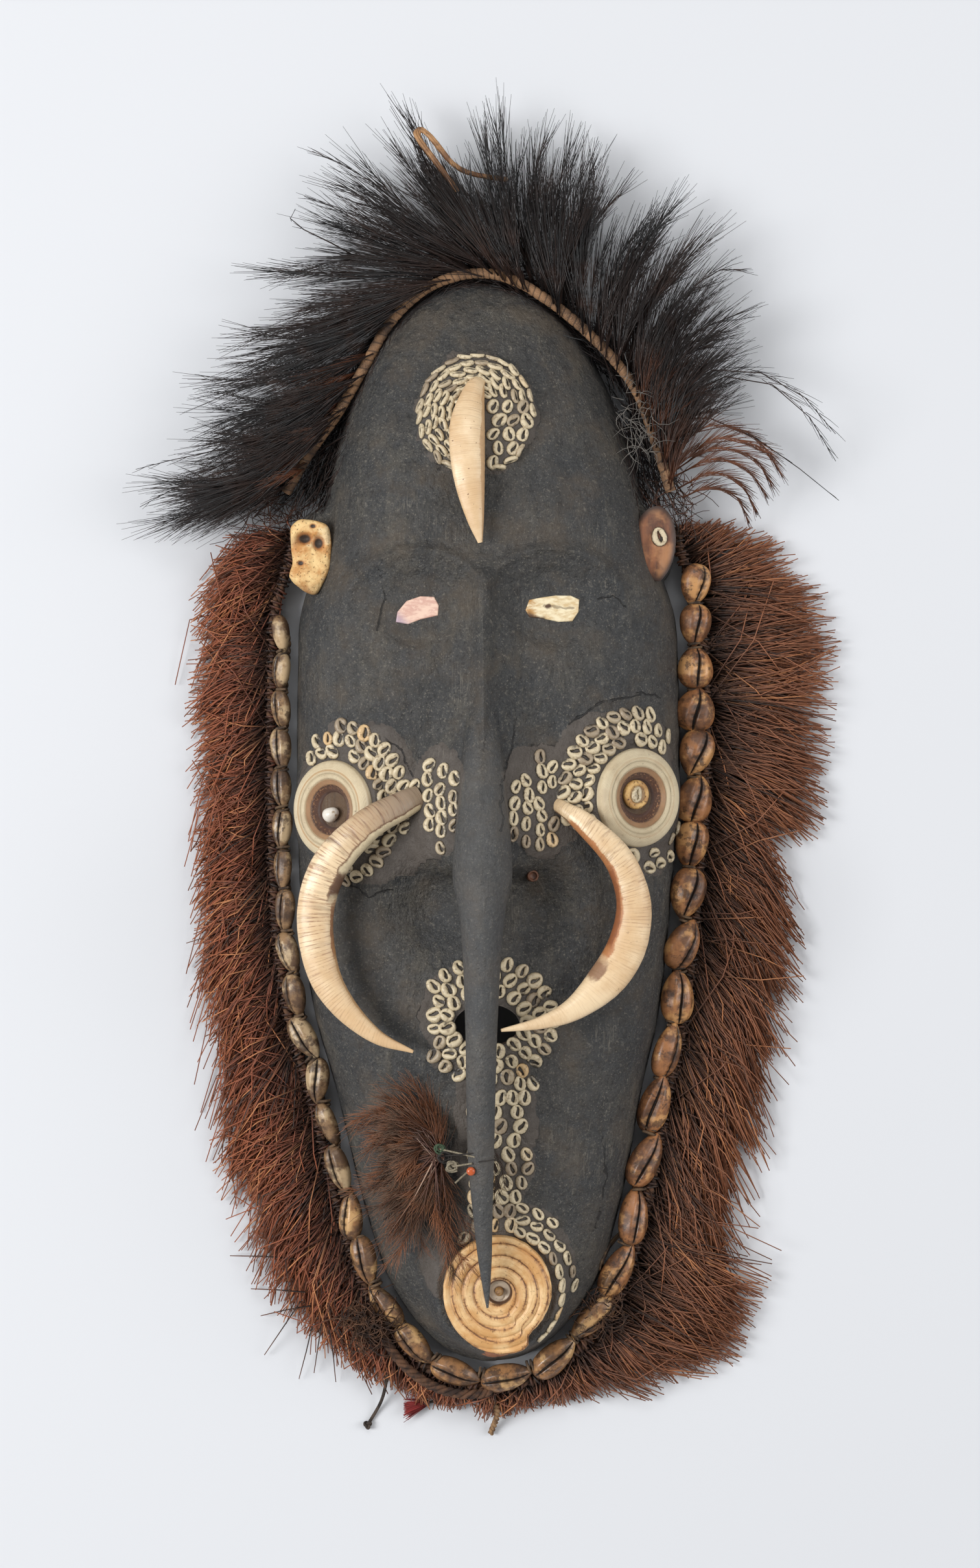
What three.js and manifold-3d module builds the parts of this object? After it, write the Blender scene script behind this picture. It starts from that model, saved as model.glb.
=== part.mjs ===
// A long-nosed spirit mask, lying on its back on its own rim.
// A hollow wooden face with a free beak of a nose is dressed with boar tusks, cone-shell
// discs, a garland of cowries, a fibre fringe and a feather crown on a bent cane hoop.
// Millimetres. +X is the right side as the mask is looked at, +Y runs up to the crown and
// +Z comes out of the face. The rim rests on z = 0, and the origin is under the middle.

import * as THREE from 'three';
import { mergeVertices } from 'three/addons/utils/BufferGeometryUtils.js';
import Module from 'manifold-3d';

const wasm = await Module();
wasm.setup();

// Driving dimensions of the wooden face
const CROWN_Y = 317;
const CHIN_Y = -398;
const MIDDLE_Y = (CROWN_Y + CHIN_Y) / 2;
const HALF_LENGTH = (CROWN_Y - CHIN_Y) / 2;
const WALL = 13;
const OUTLINE_POWER = 2.5;
const CREST_POWER = 3;
const SECTION_POWER = 2.6;
const EAR = { y: 139, halfHeight: 38, left: 129, right: 123, top: 43 };
const BOSS = { x: -8, y: 222, radius: 39, rise: 6 };
const SOCKETS = [{ x: -46, y: 99 }, { x: 41, y: 100 }];
const SOCKET = { halfWidth: 42, halfHeight: 30, depth: 8, brow: 2.5 };
const SCOOPS = [{ x: -38, y: -97 }, { x: 33, y: -97 }];
const SCOOP = { halfWidth: 42, halfHeight: 44, depth: 15 };
const MOUTH = { x: -1, y: -171, halfWidth: 21, halfHeight: 14, lip: 3 };

// Flat seats in the clay: centre, height, slopes, radius of the flat and of its run-out
const SEATS = {
  leftCheek: { x: -99.7, y: -32.7, z: 62, slopeX: 0.75, slopeY: 0, flat: 33, edge: 9 },
  rightCheek: { x: 95.9, y: -24.8, z: 64, slopeX: -0.65, slopeY: 0, flat: 32, edge: 9 },
  chin: { x: 6, y: -344.2, z: 66, slopeX: 0, slopeY: 0.08, flat: 38, edge: 12 },
  leftEye: { x: -45.6, y: 95.5, z: 81, slopeX: 0.15, slopeY: 0, flat: 18, edge: 9 },
  rightEye: { x: 41, y: 96.5, z: 81, slopeX: -0.15, slopeY: 0, flat: 20, edge: 9 },
};

// Driving dimensions of what is fixed on the face
const GAP = 0.3;
const CHEEK_DISC = { radius: 32, thickness: 9, sunk: 3 };
const INNER_DISC = { radius: 9.5, thickness: 5 };
const CHIN_DISC = { radius: 36.5, thickness: 13, sunk: 3 };
const EYE_THICKNESS = 3.5;
const GARLAND = { shells: 37, offset: 9.5, z: 23, top: 95, rightTop: 128 };
const HOOP_THICKNESS = 7.5;
const FRINGE_OFFSET = 2;
const STRING_THICKNESS = 2.2;
const TWISTED_CORD_THICKNESS = 4.4;

// A smooth function of one variable that passes through the given [place, value] pairs.
function through(pairs) {
  const last = pairs.length - 1;
  const slopes = pairs.map((pair, i) => {
    const before = pairs[Math.max(i - 1, 0)];
    const after = pairs[Math.min(i + 1, last)];
    return (after[1] - before[1]) / (after[0] - before[0]);
  });
  return (place) => {
    const inside = THREE.MathUtils.clamp(place, pairs[0][0], pairs[last][0]);
    let i = 0;
    while (i < last - 1 && inside > pairs[i + 1][0]) i += 1;
    const span = pairs[i + 1][0] - pairs[i][0];
    const t = (inside - pairs[i][0]) / span;
    const rise = t * t * (3 - 2 * t);
    const bend = t * (1 - t) * span * (slopes[i] * (1 - t) - slopes[i + 1] * t);
    return pairs[i][1] + rise * (pairs[i + 1][1] - pairs[i][1]) + bend;
  };
}

// One at the centre, falling smoothly to zero at a distance of one.
function bell(distance) {
  return distance >= 1 ? 0 : 0.5 * (1 + Math.cos(Math.PI * distance));
}

// Zero up to the first place, one from the second on, smooth between.
function ramp(from, to, place) {
  const t = THREE.MathUtils.clamp((place - from) / (to - from), 0, 1);
  return t * t * (3 - 2 * t);
}

// Height of a superellipse of half width one and height one.
function arch(across, power) {
  const side = Math.abs(across);
  return side >= 1 ? 0 : (1 - side ** power) ** (1 / power);
}

// Closed solids: shared vertices are merged, and the faces are turned to point outwards.
function toSolid(geometry) {
  const bare = geometry.clone();
  bare.deleteAttribute('normal');
  bare.deleteAttribute('uv');
  const merged = mergeVertices(bare, 1e-4);
  const position = merged.getAttribute('position');
  const corners = [0, 1, 2].map(() => new THREE.Vector3());
  const triangles = [];
  let volume = 0;
  for (let i = 0; i < merged.index.count; i += 3) {
    const triangle = [0, 1, 2].map((step) => merged.index.getX(i + step));
    if (new Set(triangle).size < 3) continue;
    triangle.forEach((vertex, step) => corners[step].fromBufferAttribute(position, vertex));
    volume += corners[0].dot(corners[1].clone().cross(corners[2]));
    triangles.push(triangle);
  }
  const turned = triangles.map(([a, b, c]) => (volume < 0 ? [a, c, b] : [a, b, c]));
  return new wasm.Manifold(new wasm.Mesh({
    numProp: 3,
    vertProperties: new Float32Array(position.array),
    triVerts: new Uint32Array(turned.flat()),
  }));
}

function toGeometry(solid) {
  const mesh = solid.getMesh();
  const geometry = new THREE.BufferGeometry();
  geometry.setAttribute('position', new THREE.BufferAttribute(new Float32Array(mesh.vertProperties), 3));
  geometry.setIndex(new THREE.BufferAttribute(new Uint32Array(mesh.triVerts), 1));
  geometry.computeVertexNormals();
  return geometry;
}

function moveVertices(geometry, place) {
  const position = geometry.getAttribute('position');
  const point = new THREE.Vector3();
  for (let i = 0; i < position.count; i += 1) {
    point.fromBufferAttribute(position, i);
    const moved = place(point, i);
    position.setXYZ(i, moved.x, moved.y, moved.z);
  }
  return geometry;
}

const mask = new THREE.Group();

function addPiece(name, solid, color, roughness) {
  const material = new THREE.MeshStandardMaterial({ color, roughness, metalness: 0 });
  const mesh = new THREE.Mesh(toGeometry(solid), material);
  mesh.name = name;
  mask.add(mesh);
}

// Outline of the wooden face, as seen from the front
const breadth = through([[-398, 96], [-353, 106], [-300, 106], [-223, 109], [-171, 117.5],
  [-120, 122], [-16, 127], [60, 128.5], [95, 129], [135, 121], [200, 119.5], [317, 118]]);
const centreLine = through([[-398, 2], [-350, 3], [-275, 2], [-120, -2], [0, 0], [138, -1.5],
  [245, -5.5], [317, -7]]);

function lengthwise(y) {
  return (y - MIDDLE_Y) / HALF_LENGTH;
}

function faceHalfWidth(y) {
  return breadth(y) * arch(lengthwise(y), OUTLINE_POWER);
}

function earReach(y, reach) {
  return reach * arch((y - EAR.y) / EAR.halfHeight, 3);
}

function leftEdge(y) {
  return Math.min(centreLine(y) - faceHalfWidth(y), -earReach(y, EAR.left));
}

function rightEdge(y) {
  return Math.max(centreLine(y) + faceHalfWidth(y), earReach(y, EAR.right));
}

// Relief of the face
const crestHeight = through([[-398, 86], [-344, 84], [-260, 80], [-171, 82], [-60, 84], [30, 87],
  [97, 90], [150, 93], [222, 90], [317, 84]]);
const noseX = through([[-351, -0.6], [-318, -2.3], [-257, -4.7], [-175, -4.5], [-73, -3.8], [124, -3]]);
const ridgeHeight = through([[-70, 33], [-33, 31], [9, 24], [72, 14], [108, 6], [124, 0]]);
const ridgeHalfWidth = through([[-70, 45], [-33, 51], [9, 37], [72, 26], [124, 11]]);

function noseRidge(x, y) {
  const aside = Math.abs(x - noseX(y)) / ridgeHalfWidth(y);
  if (aside >= 1 || y >= 124) return 0;
  return ridgeHeight(y) * (1 - aside) ** 1.25 * ramp(-80, -66, y);
}

function socketRelief(x, y) {
  return SOCKETS.reduce((sum, { x: centreX, y: centreY }) => {
    const away = Math.hypot((x - centreX) / SOCKET.halfWidth, (y - centreY) / SOCKET.halfHeight);
    const above = ramp(centreY, centreY + SOCKET.halfHeight / 2, y);
    return sum - SOCKET.depth * bell(away) + SOCKET.brow * above * bell(Math.abs(away - 1.1) / 0.35);
  }, 0);
}

function scoopRelief(x, y) {
  return SCOOPS.reduce((sum, { x: centreX, y: centreY }) => sum - SCOOP.depth
    * bell(Math.hypot((x - centreX) / SCOOP.halfWidth, (y - centreY) / SCOOP.halfHeight)), 0);
}

function lipRelief(x, y) {
  const away = Math.hypot((x - MOUTH.x) / MOUTH.halfWidth, (y - MOUTH.y) / MOUTH.halfHeight);
  return MOUTH.lip * bell(Math.abs(away - 1.3) / 0.7);
}

function seatHeight(seat, x, y) {
  return seat.z + seat.slopeX * (x - seat.x) + seat.slopeY * (y - seat.y);
}

function faceHeight(x, y) {
  const half = faceHalfWidth(y);
  const across = half > 0 ? (x - centreLine(y)) / half : 1;
  let height = crestHeight(y) * arch(lengthwise(y), CREST_POWER) * arch(across, SECTION_POWER);
  height += noseRidge(x, y) + socketRelief(x, y) + scoopRelief(x, y) + lipRelief(x, y);
  height += BOSS.rise * arch(Math.hypot(x - BOSS.x, y - BOSS.y) / BOSS.radius, 2);
  Object.values(SEATS).forEach((seat) => {
    const away = Math.hypot((x - seat.x) * Math.hypot(1, seat.slopeX), y - seat.y);
    const weight = 1 - ramp(seat.flat, seat.flat + seat.edge, away);
    height += weight * (seatHeight(seat, x, y) - height);
  });
  const reach = earReach(y, x < 0 ? EAR.left : EAR.right);
  const ear = reach > 0 ? EAR.top * arch(x / reach, 6) : 0;
  return Math.max(height, ear, 0);
}

// The hollow behind the face follows it at the thickness of the wall.
function hollowHeight(x, y) {
  const half = faceHalfWidth(y) - WALL;
  const across = half > 0 ? (x - centreLine(y)) / half : 1;
  const along = (y - MIDDLE_Y) / (HALF_LENGTH - WALL);
  const vault = (crestHeight(y) - WALL) * arch(along, CREST_POWER) * arch(across, SECTION_POWER);
  return Math.max(Math.min(vault, faceHeight(x, y) - WALL), 0);
}

// A sphere is folded into the wooden shell: its poles are the crown and the chin, its front
// half is the face, and its back half is pushed up into the hollow. Between them lies the rim.
const SHELL_ROWS = 50;
const FACE_COLUMNS = 24;
const HOLLOW_COLUMNS = 8;

function rowPlace(row) {
  const share = row / SHELL_ROWS;
  return 0.5 * (1 - 2 * share) + 0.5 * Math.cos(Math.PI * share);
}

function columnPlace(column, columns) {
  const share = 2 * column / columns - 1;
  return 0.5 * share + 0.5 * Math.sin(share * Math.PI / 2);
}

function carveShell() {
  const columns = FACE_COLUMNS + HOLLOW_COLUMNS + 2;
  const firstRow = rowPlace(1);
  return moveVertices(new THREE.SphereGeometry(1, columns, SHELL_ROWS), (point, i) => {
    const row = Math.floor(i / (columns + 1));
    const column = (i % (columns + 1)) % columns;
    if (row === 0 || row === SHELL_ROWS) {
      return new THREE.Vector3(centreLine(row ? CHIN_Y : CROWN_Y), row ? CHIN_Y : CROWN_Y, 0);
    }
    if (column <= FACE_COLUMNS) {
      const y = MIDDLE_Y + HALF_LENGTH * rowPlace(row);
      const across = columnPlace(column, FACE_COLUMNS);
      const x = THREE.MathUtils.lerp(leftEdge(y), rightEdge(y), (across + 1) / 2);
      return new THREE.Vector3(x, y, Math.abs(across) < 1 ? faceHeight(x, y) : 0);
    }
    const y = MIDDLE_Y + (HALF_LENGTH - WALL) * rowPlace(row) / firstRow;
    const half = Math.max(faceHalfWidth(y) - WALL, 0);
    const across = -columnPlace(column - FACE_COLUMNS - 1, HOLLOW_COLUMNS);
    const x = centreLine(y) + half * across;
    return new THREE.Vector3(x, y, Math.abs(across) < 1 ? hollowHeight(x, y) : 0);
  });
}

// A tapering limb along a curve: a closed cylinder is bent, and its width and depth change.
function limb(curve, widthAt, depthAt, sides, steps, upright = new THREE.Vector3(0, 0, 1)) {
  return moveVertices(new THREE.CylinderGeometry(1, 1, 1, sides, steps), (point) => {
    const t = point.y + 0.5;
    const along = curve.getTangent(t);
    const across = along.clone().cross(upright).normalize();
    const out = across.clone().cross(along);
    return curve.getPoint(t)
      .addScaledVector(across, point.x * widthAt(t) / 2)
      .addScaledVector(out, point.z * depthAt(t) / 2);
  });
}

function curveOf(points) {
  return new THREE.CatmullRomCurve3(points.map((point) => new THREE.Vector3(...point)));
}

// The nose is one beam from the ridge to its free tip: y, crest height, width and depth
const NOSE_STATIONS = [[62, 99, 13, 18], [9, 111, 26, 28], [-33, 121, 33, 36], [-73, 126, 38, 38],
  [-94, 127, 30.3, 30], [-114, 127, 25.8, 26], [-134, 126, 23.3, 23], [-175, 123.5, 20, 20],
  [-216, 118, 18.4, 18], [-257, 110.5, 16.4, 15], [-298, 101.5, 11.5, 11], [-318, 96.5, 9, 8],
  [-338, 91.5, 4.9, 4.5], [-351, 88.5, 1.4, 1.4]];

function noseBeam() {
  const stationAt = (column) => through(NOSE_STATIONS.map((row, i) =>
    [i / (NOSE_STATIONS.length - 1), row[column]]));
  const width = stationAt(2);
  const depth = stationAt(3);
  const centre = curveOf(NOSE_STATIONS.map(([y, crest, , deep]) => [noseX(y), y, crest - deep / 2]));
  return limb(centre, width, depth, 8, 17);
}

function seatTurn(seat) {
  const up = new THREE.Vector3(-seat.slopeX, -seat.slopeY, 1).normalize();
  return new THREE.Quaternion().setFromUnitVectors(new THREE.Vector3(0, 1, 0), up);
}

// Puts a shape whose axis is +Y on a seat, sunk into the clay by the given depth.
function setOnSeat(geometry, seat, sunk, shiftX = 0, shiftY = 0) {
  const x = seat.x + shiftX;
  const y = seat.y + shiftY;
  geometry.translate(0, -sunk, 0);
  geometry.applyQuaternion(seatTurn(seat));
  return geometry.translate(x, y, seatHeight(seat, x, y));
}

function bedCutter(radius, seat, sunk) {
  const reach = 24;
  const cutter = new THREE.CylinderGeometry(radius + GAP, radius + GAP, reach, 20);
  cutter.translate(0, reach / 2 - GAP, 0);
  return toSolid(setOnSeat(cutter, seat, sunk));
}

// Eye inlays: a bed is cut for each, a little larger than the inlay
const LEFT_EYE_OUTLINE = [[-14, -7.5], [-13, -1], [-7, 6], [2, 9], [11, 8.5], [14, 3], [13.5, -3.5],
  [2, -6], [-6, -9]];
const RIGHT_EYE_OUTLINE = [[-17.5, -1], [-15, 5.5], [-8, 7], [2, 8.5], [12, 8.5], [17.5, 6], [17, -2],
  [13, -8], [4, -8.5], [-6, -6.5], [-15, -5.5]];

function eyeInlay(outline, seat, swell, thickness) {
  const points = outline.map(([x, y]) => new THREE.Vector2(x * swell, y * swell));
  const shape = new THREE.Shape(points);
  const inlay = new THREE.ExtrudeGeometry(shape, { depth: thickness, bevelEnabled: false });
  inlay.rotateX(-Math.PI / 2);
  return toSolid(setOnSeat(inlay, seat, EYE_THICKNESS - 1));
}

// Tusks: x, y and z of the middle, with the width across the face and the depth out of it
const TUSKS = {
  forehead_tusk: [[-5.6, 243, 77, 8, 7], [-9.1, 236, 82, 13.6, 11], [-13.2, 215, 91, 21.9, 15],
    [-13.4, 194.6, 96, 22.3, 15], [-11.6, 174, 98.5, 18.6, 12], [-8.3, 153, 99, 11.2, 8],
    [-5.2, 137.6, 98, 3, 3]],
  cheek_tusk_left: [[-45, -24.5, 84, 15, 13], [-56, -30, 90, 18, 16], [-78.2, -42.9, 97, 20.7, 18],
    [-100.9, -67.8, 95, 24, 19], [-110.5, -98.9, 91, 23.4, 19], [-106.3, -133.3, 90, 21, 17],
    [-93.5, -156.9, 91, 16.5, 14], [-71.9, -176.8, 93, 9.5, 8], [-47.9, -186.7, 95, 2, 2]],
  cheek_tusk_right: [[43, -29, 82, 8.5, 8], [50, -33, 87, 10, 10], [61.9, -41.7, 91, 14.5, 13],
    [81.4, -61.6, 92, 18.6, 16], [90.9, -82.3, 91, 21, 18], [92.6, -101, 90, 23, 19],
    [87, -123, 90, 25, 19], [73.9, -142.4, 92, 23.5, 17], [54.5, -159, 98, 15, 12],
    [33.7, -167.3, 105, 8.3, 7], [8, -171.5, 115, 2, 2]],
};

function tusk(stations, extra) {
  const stationAt = (column) => through(stations.map((row, i) => [i / (stations.length - 1), row[column]]));
  const width = stationAt(3);
  const depth = stationAt(4);
  const middle = curveOf(stations.map(([x, y, z]) => [x, y, z]));
  return toSolid(limb(middle, (t) => width(t) + extra, (t) => depth(t) + extra, 8, 12));
}

// The wooden shell with its nose, its mouth and the beds of what is set in the clay
function mouthCutter() {
  const cutter = new THREE.CylinderGeometry(1, 1, 80, 14);
  cutter.rotateX(Math.PI / 2);
  cutter.scale(MOUTH.halfWidth, MOUTH.halfHeight, 1);
  return toSolid(cutter.translate(MOUTH.x, MOUTH.y, 75));
}

let wood = toSolid(carveShell()).subtract(mouthCutter()).add(toSolid(noseBeam()));
wood = wood.subtract(bedCutter(CHEEK_DISC.radius, SEATS.leftCheek, CHEEK_DISC.sunk));
wood = wood.subtract(bedCutter(CHEEK_DISC.radius, SEATS.rightCheek, CHEEK_DISC.sunk));
wood = wood.subtract(bedCutter(CHIN_DISC.radius, SEATS.chin, CHIN_DISC.sunk));
Object.values(TUSKS).forEach((stations) => {
  wood = wood.subtract(tusk(stations, 2 * GAP));
});
wood = wood.subtract(eyeInlay(LEFT_EYE_OUTLINE, SEATS.leftEye, 1.06, 20));
wood = wood.subtract(eyeInlay(RIGHT_EYE_OUTLINE, SEATS.rightEye, 1.05, 20));
addPiece('mask', wood, '#3f3d3a', 0.85);

addPiece('eye_inlay_left', eyeInlay(LEFT_EYE_OUTLINE, SEATS.leftEye, 1, EYE_THICKNESS), '#d9ab9a', 0.4);
addPiece('eye_inlay_right', eyeInlay(RIGHT_EYE_OUTLINE, SEATS.rightEye, 1, EYE_THICKNESS), '#d8cba4', 0.5);
Object.entries(TUSKS).forEach(([name, stations]) => {
  addPiece(name, tusk(stations, 0), '#e8d5b4', 0.45);
});

// Discs cut from cone shells: a turned profile with a raised outer ring, lying in its bed
function cheekDisc() {
  const { radius, thickness } = CHEEK_DISC;
  const profile = [[0, 0], [radius - 3, 0], [radius, 3], [radius - 0.6, thickness - 2.5],
    [radius - 3, thickness], [radius - 11, thickness - 0.4], [radius - 14, thickness - 3],
    [0, thickness - 4]];
  return new THREE.LatheGeometry(profile.map(([r, y]) => new THREE.Vector2(r, y)), 18);
}

// The floor of the disc's middle, where the bead and the inner disc lie
const DISC_FLOOR = CHEEK_DISC.thickness - 4;

function innerDisc() {
  const { radius, thickness } = INNER_DISC;
  const profile = [[0, 0], [radius - 1, 0], [radius, 1.5], [radius - 1, thickness - 0.5],
    [radius - 3, thickness], [0, thickness - 2]];
  return new THREE.LatheGeometry(profile.map(([r, y]) => new THREE.Vector2(r, y)), 12);
}

// The chin disc rises in steps towards the middle, where its tip is worn open
function chinDisc() {
  const { radius, thickness } = CHIN_DISC;
  const profile = [[0, 0], [radius - 3, 0], [radius, 3], [radius - 1.5, thickness * 0.55],
    [radius * 0.56, thickness * 0.88], [radius * 0.22, thickness], [radius * 0.17, thickness - 5],
    [0, thickness - 5]];
  return new THREE.LatheGeometry(profile.map(([r, y]) => new THREE.Vector2(r, y)), 20);
}

const INNER_DISC_SHIFT = { x: -2, y: 2 };
const BEAD = { radius: 5.2, shiftX: 0.5, shiftY: -3 };

addPiece('cheek_disc_left', toSolid(setOnSeat(cheekDisc(), SEATS.leftCheek, CHEEK_DISC.sunk))
  .subtract(tusk(TUSKS.cheek_tusk_left, 2 * GAP)), '#e2cba6', 0.5);
addPiece('cheek_disc_right', toSolid(setOnSeat(cheekDisc(), SEATS.rightCheek, CHEEK_DISC.sunk)),
  '#e2cba6', 0.5);
const beadRise = CHEEK_DISC.sunk - DISC_FLOOR - BEAD.radius - GAP;
addPiece('cheek_bead_left', toSolid(setOnSeat(new THREE.SphereGeometry(BEAD.radius, 8, 6),
  SEATS.leftCheek, beadRise, BEAD.shiftX, BEAD.shiftY)), '#f1ece2', 0.35);
addPiece('cheek_disc_right_inner', toSolid(setOnSeat(innerDisc(), SEATS.rightCheek,
  CHEEK_DISC.sunk - DISC_FLOOR - 3 * GAP, INNER_DISC_SHIFT.x, INNER_DISC_SHIFT.y)), '#d8b98a', 0.5);
addPiece('chin_disc', toSolid(setOnSeat(chinDisc(), SEATS.chin, CHIN_DISC.sunk)), '#dcb784', 0.55);

// Ear ornaments, lying flat on the ear flaps
const EAR_BONE_OUTLINE = [[-13, 20], [-7, 25], [4, 24], [12, 21], [14, 10], [13, -8], [8, -18],
  [4, -25], [-3, -23], [-13, -15], [-14, -10], [-11, -5], [-12.5, 6]];
const EAR_BONE = { x: -116, y: 131.5, thickness: 13 };
const EAR_PLAQUE = { x: 107.5, y: 139.5, halfWidth: 13, halfHeight: 26, foot: -22.5, thickness: 6, lean: -0.13 };

function earBone() {
  const shape = new THREE.Shape(EAR_BONE_OUTLINE.map(([x, y]) => new THREE.Vector2(x, y)));
  const bevel = 2.5;
  const bone = new THREE.ExtrudeGeometry(shape, {
    depth: EAR_BONE.thickness - 2 * bevel, bevelSize: bevel, bevelOffset: -bevel,
    bevelThickness: bevel, bevelSegments: 1,
  });
  return bone.translate(EAR_BONE.x, EAR_BONE.y, EAR.top + bevel + GAP);
}

function earPlaque() {
  const { halfWidth, halfHeight, foot, thickness, lean } = EAR_PLAQUE;
  const steps = 18;
  const points = Array.from({ length: steps }, (unused, i) => {
    const angle = 2 * Math.PI * i / steps;
    return new THREE.Vector2(halfWidth * Math.cos(angle), Math.max(halfHeight * Math.sin(angle), foot));
  });
  const plaque = new THREE.ExtrudeGeometry(new THREE.Shape(points), { depth: thickness, bevelEnabled: false });
  return plaque.rotateZ(lean).translate(EAR_PLAQUE.x, EAR_PLAQUE.y, EAR.top + GAP);
}

addPiece('ear_bone_left', toSolid(earBone()).subtract(wood), '#d9bf86', 0.7);
addPiece('ear_plaque_right', toSolid(earPlaque()).subtract(wood), '#7a4f35', 0.6);

// The peg stands in the hollow cheek, square to the face there
const PEG = { x: 28, y: -75, radius: 3.8, length: 9 };
const peg = new THREE.CylinderGeometry(PEG.radius, PEG.radius, PEG.length, 12);
peg.rotateX(Math.PI / 2);
peg.translate(PEG.x, PEG.y, faceHeight(PEG.x, PEG.y) + PEG.length / 2);
addPiece('nostril_peg', toSolid(peg).subtract(wood), '#5b4030', 0.7);

// The rim seen from above, as a curve at a distance outside it: down the left side from the
// given height, round the chin and up the right side. It runs straight past the ears.
const SKIRT_TOP = 40;

function rimCurve(offset, z, leftTop, rightTop) {
  const steps = 22;
  const side = (sign, top) => Array.from({ length: steps + 1 }, (unused, i) => {
    const from = Math.acos(THREE.MathUtils.clamp(lengthwise(Math.min(top, SKIRT_TOP)), -1, 1));
    const angle = from + (Math.PI - from) * i / steps;
    const y = MIDDLE_Y + HALF_LENGTH * Math.cos(angle);
    const slope = (faceHalfWidth(y + 0.5) - faceHalfWidth(Math.max(y - 0.5, CHIN_Y)));
    const out = new THREE.Vector2(1, -slope).normalize();
    return i === steps
      ? new THREE.Vector3(centreLine(CHIN_Y), CHIN_Y - offset, z)
      : new THREE.Vector3(centreLine(y) + sign * (faceHalfWidth(y) + offset * out.x),
        y + offset * out.y, z);
  });
  const topOf = (points, top) => (top > SKIRT_TOP
    ? [new THREE.Vector3(points[0].x, top, z), ...points] : points);
  const left = topOf(side(-1, leftTop), leftTop);
  const right = topOf(side(1, rightTop), rightTop).reverse();
  return new THREE.CatmullRomCurve3([...left, ...right.slice(1)], false, 'centripetal');
}

// Garland cowries, each as long as its share of the rim and turned with it. The shells on the
// left lie on edge and face outwards; those on the right show their backs to the front.
const garlandCurve = rimCurve(GARLAND.offset, GARLAND.z, GARLAND.top, GARLAND.rightTop);
const garlandPitch = through([[0, 24], [0.25, 28], [0.5, 33], [0.66, 37], [0.85, 30], [1, 25]]);
const garlandLean = through([[0, 68], [0.3, 62], [0.45, 25], [0.55, 18], [0.8, 28], [1, 35]]);
const garlandWidth = through([[0, 15], [0.3, 17], [0.5, 19], [0.8, 22], [1, 19]]);

function cowrie(length, width, height) {
  const slit = 0.55;
  return moveVertices(new THREE.SphereGeometry(1, 8, 4), (point) => {
    const isSlit = Math.abs(point.x) < 0.01 && point.z > 0.1;
    return new THREE.Vector3(point.x * width / 2, point.y * length / 2,
      point.z * height / 2 * (isSlit ? slit : 1));
  });
}

function garland() {
  const shares = Array.from({ length: GARLAND.shells }, (unused, i) =>
    garlandPitch((i + 0.5) / GARLAND.shells));
  const whole = shares.reduce((sum, share) => sum + share, 0);
  const length = garlandCurve.getLength();
  let start = 0;
  return shares.map((share, i) => {
    const middle = (start + share / 2) / whole;
    start += share;
    const place = garlandCurve.getPointAt(middle);
    const along = garlandCurve.getTangentAt(middle).negate();
    const across = new THREE.Vector3(0, 0, 1).cross(along).negate();
    const turn = new THREE.Matrix4().makeBasis(across, along, new THREE.Vector3(0, 0, 1));
    const width = garlandWidth(middle);
    const shell = cowrie(share / whole * length - 2 * GAP, width, width * 0.72);
    shell.rotateY(THREE.MathUtils.degToRad(garlandLean(middle)));
    shell.applyMatrix4(turn.setPosition(place));
    return { name: `garland_shell_${String(i + 1).padStart(2, '0')}`, shell };
  });
}

garland().forEach(({ name, shell }) => addPiece(name, toSolid(shell), '#8a6544', 0.5));

// A soft mass between an inner and an outer curve, its height going by the distance out
function softMass(inner, outer, underside, upper, steps, rings) {
  return moveVertices(new THREE.BoxGeometry(1, 1, 1, steps, rings, 1), (point) => {
    const from = inner.getPointAt(point.x + 0.5);
    const to = outer.getPointAt(point.x + 0.5);
    const out = from.distanceTo(to) * (point.y + 0.5);
    const place = from.lerp(to, point.y + 0.5);
    place.z = point.z < 0 ? underside(out) : upper(out);
    return place;
  });
}

// The fringe: low under the garland, full beyond it, thin at its cut ends
const fringeTop = through([[0, 11.5], [20, 12], [45, 24], [75, 20], [110, 8]]);
const shortFringeTop = through([[0, 11.5], [20, 12], [45, 6]]);
const fringeUnderside = () => 0.6;
const fringeRim = rimCurve(FRINGE_OFFSET, 0, 150, 140);
const fringeEnds = {
  fringe_left: [[-176, 152, 0], [-193, 110, 0], [-199, 30, 0], [-193, -60, 0], [-195, -140, 0],
    [-184, -200, 0], [-181, -270, 0], [-165, -313, 0], [-150, -352, 0], [-112, -392, 0]],
  fringe_bottom: [[-111, -393, 0], [-70, -418, 0], [-40, -430, 0], [3, -438, 0], [55, -428, 0],
    [110, -420, 0], [140, -408, 0]],
  fringe_right: [[141, -407, 0], [172, -392, 0], [190, -355, 0], [195, -312, 0], [204, -227, 0],
    [211, -141, 0], [204, -98, 0], [193, -63, 0], [217, -46, 0], [223, -12, 0], [230.5, 31, 0],
    [228.5, 74, 0], [218, 117, 0], [184, 151, 0]],
};

// Where each run of the fringe starts and ends along the rim, as shares of its length
const FRINGE_RUNS = { fringe_left: [0, 0.414], fringe_bottom: [0.416, 0.574], fringe_right: [0.576, 1] };

function stretchOf(curve, from, to) {
  const steps = 24;
  const points = Array.from({ length: steps + 1 }, (unused, i) =>
    curve.getPointAt(from + (to - from) * i / steps));
  return new THREE.CatmullRomCurve3(points, false, 'centripetal');
}

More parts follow.
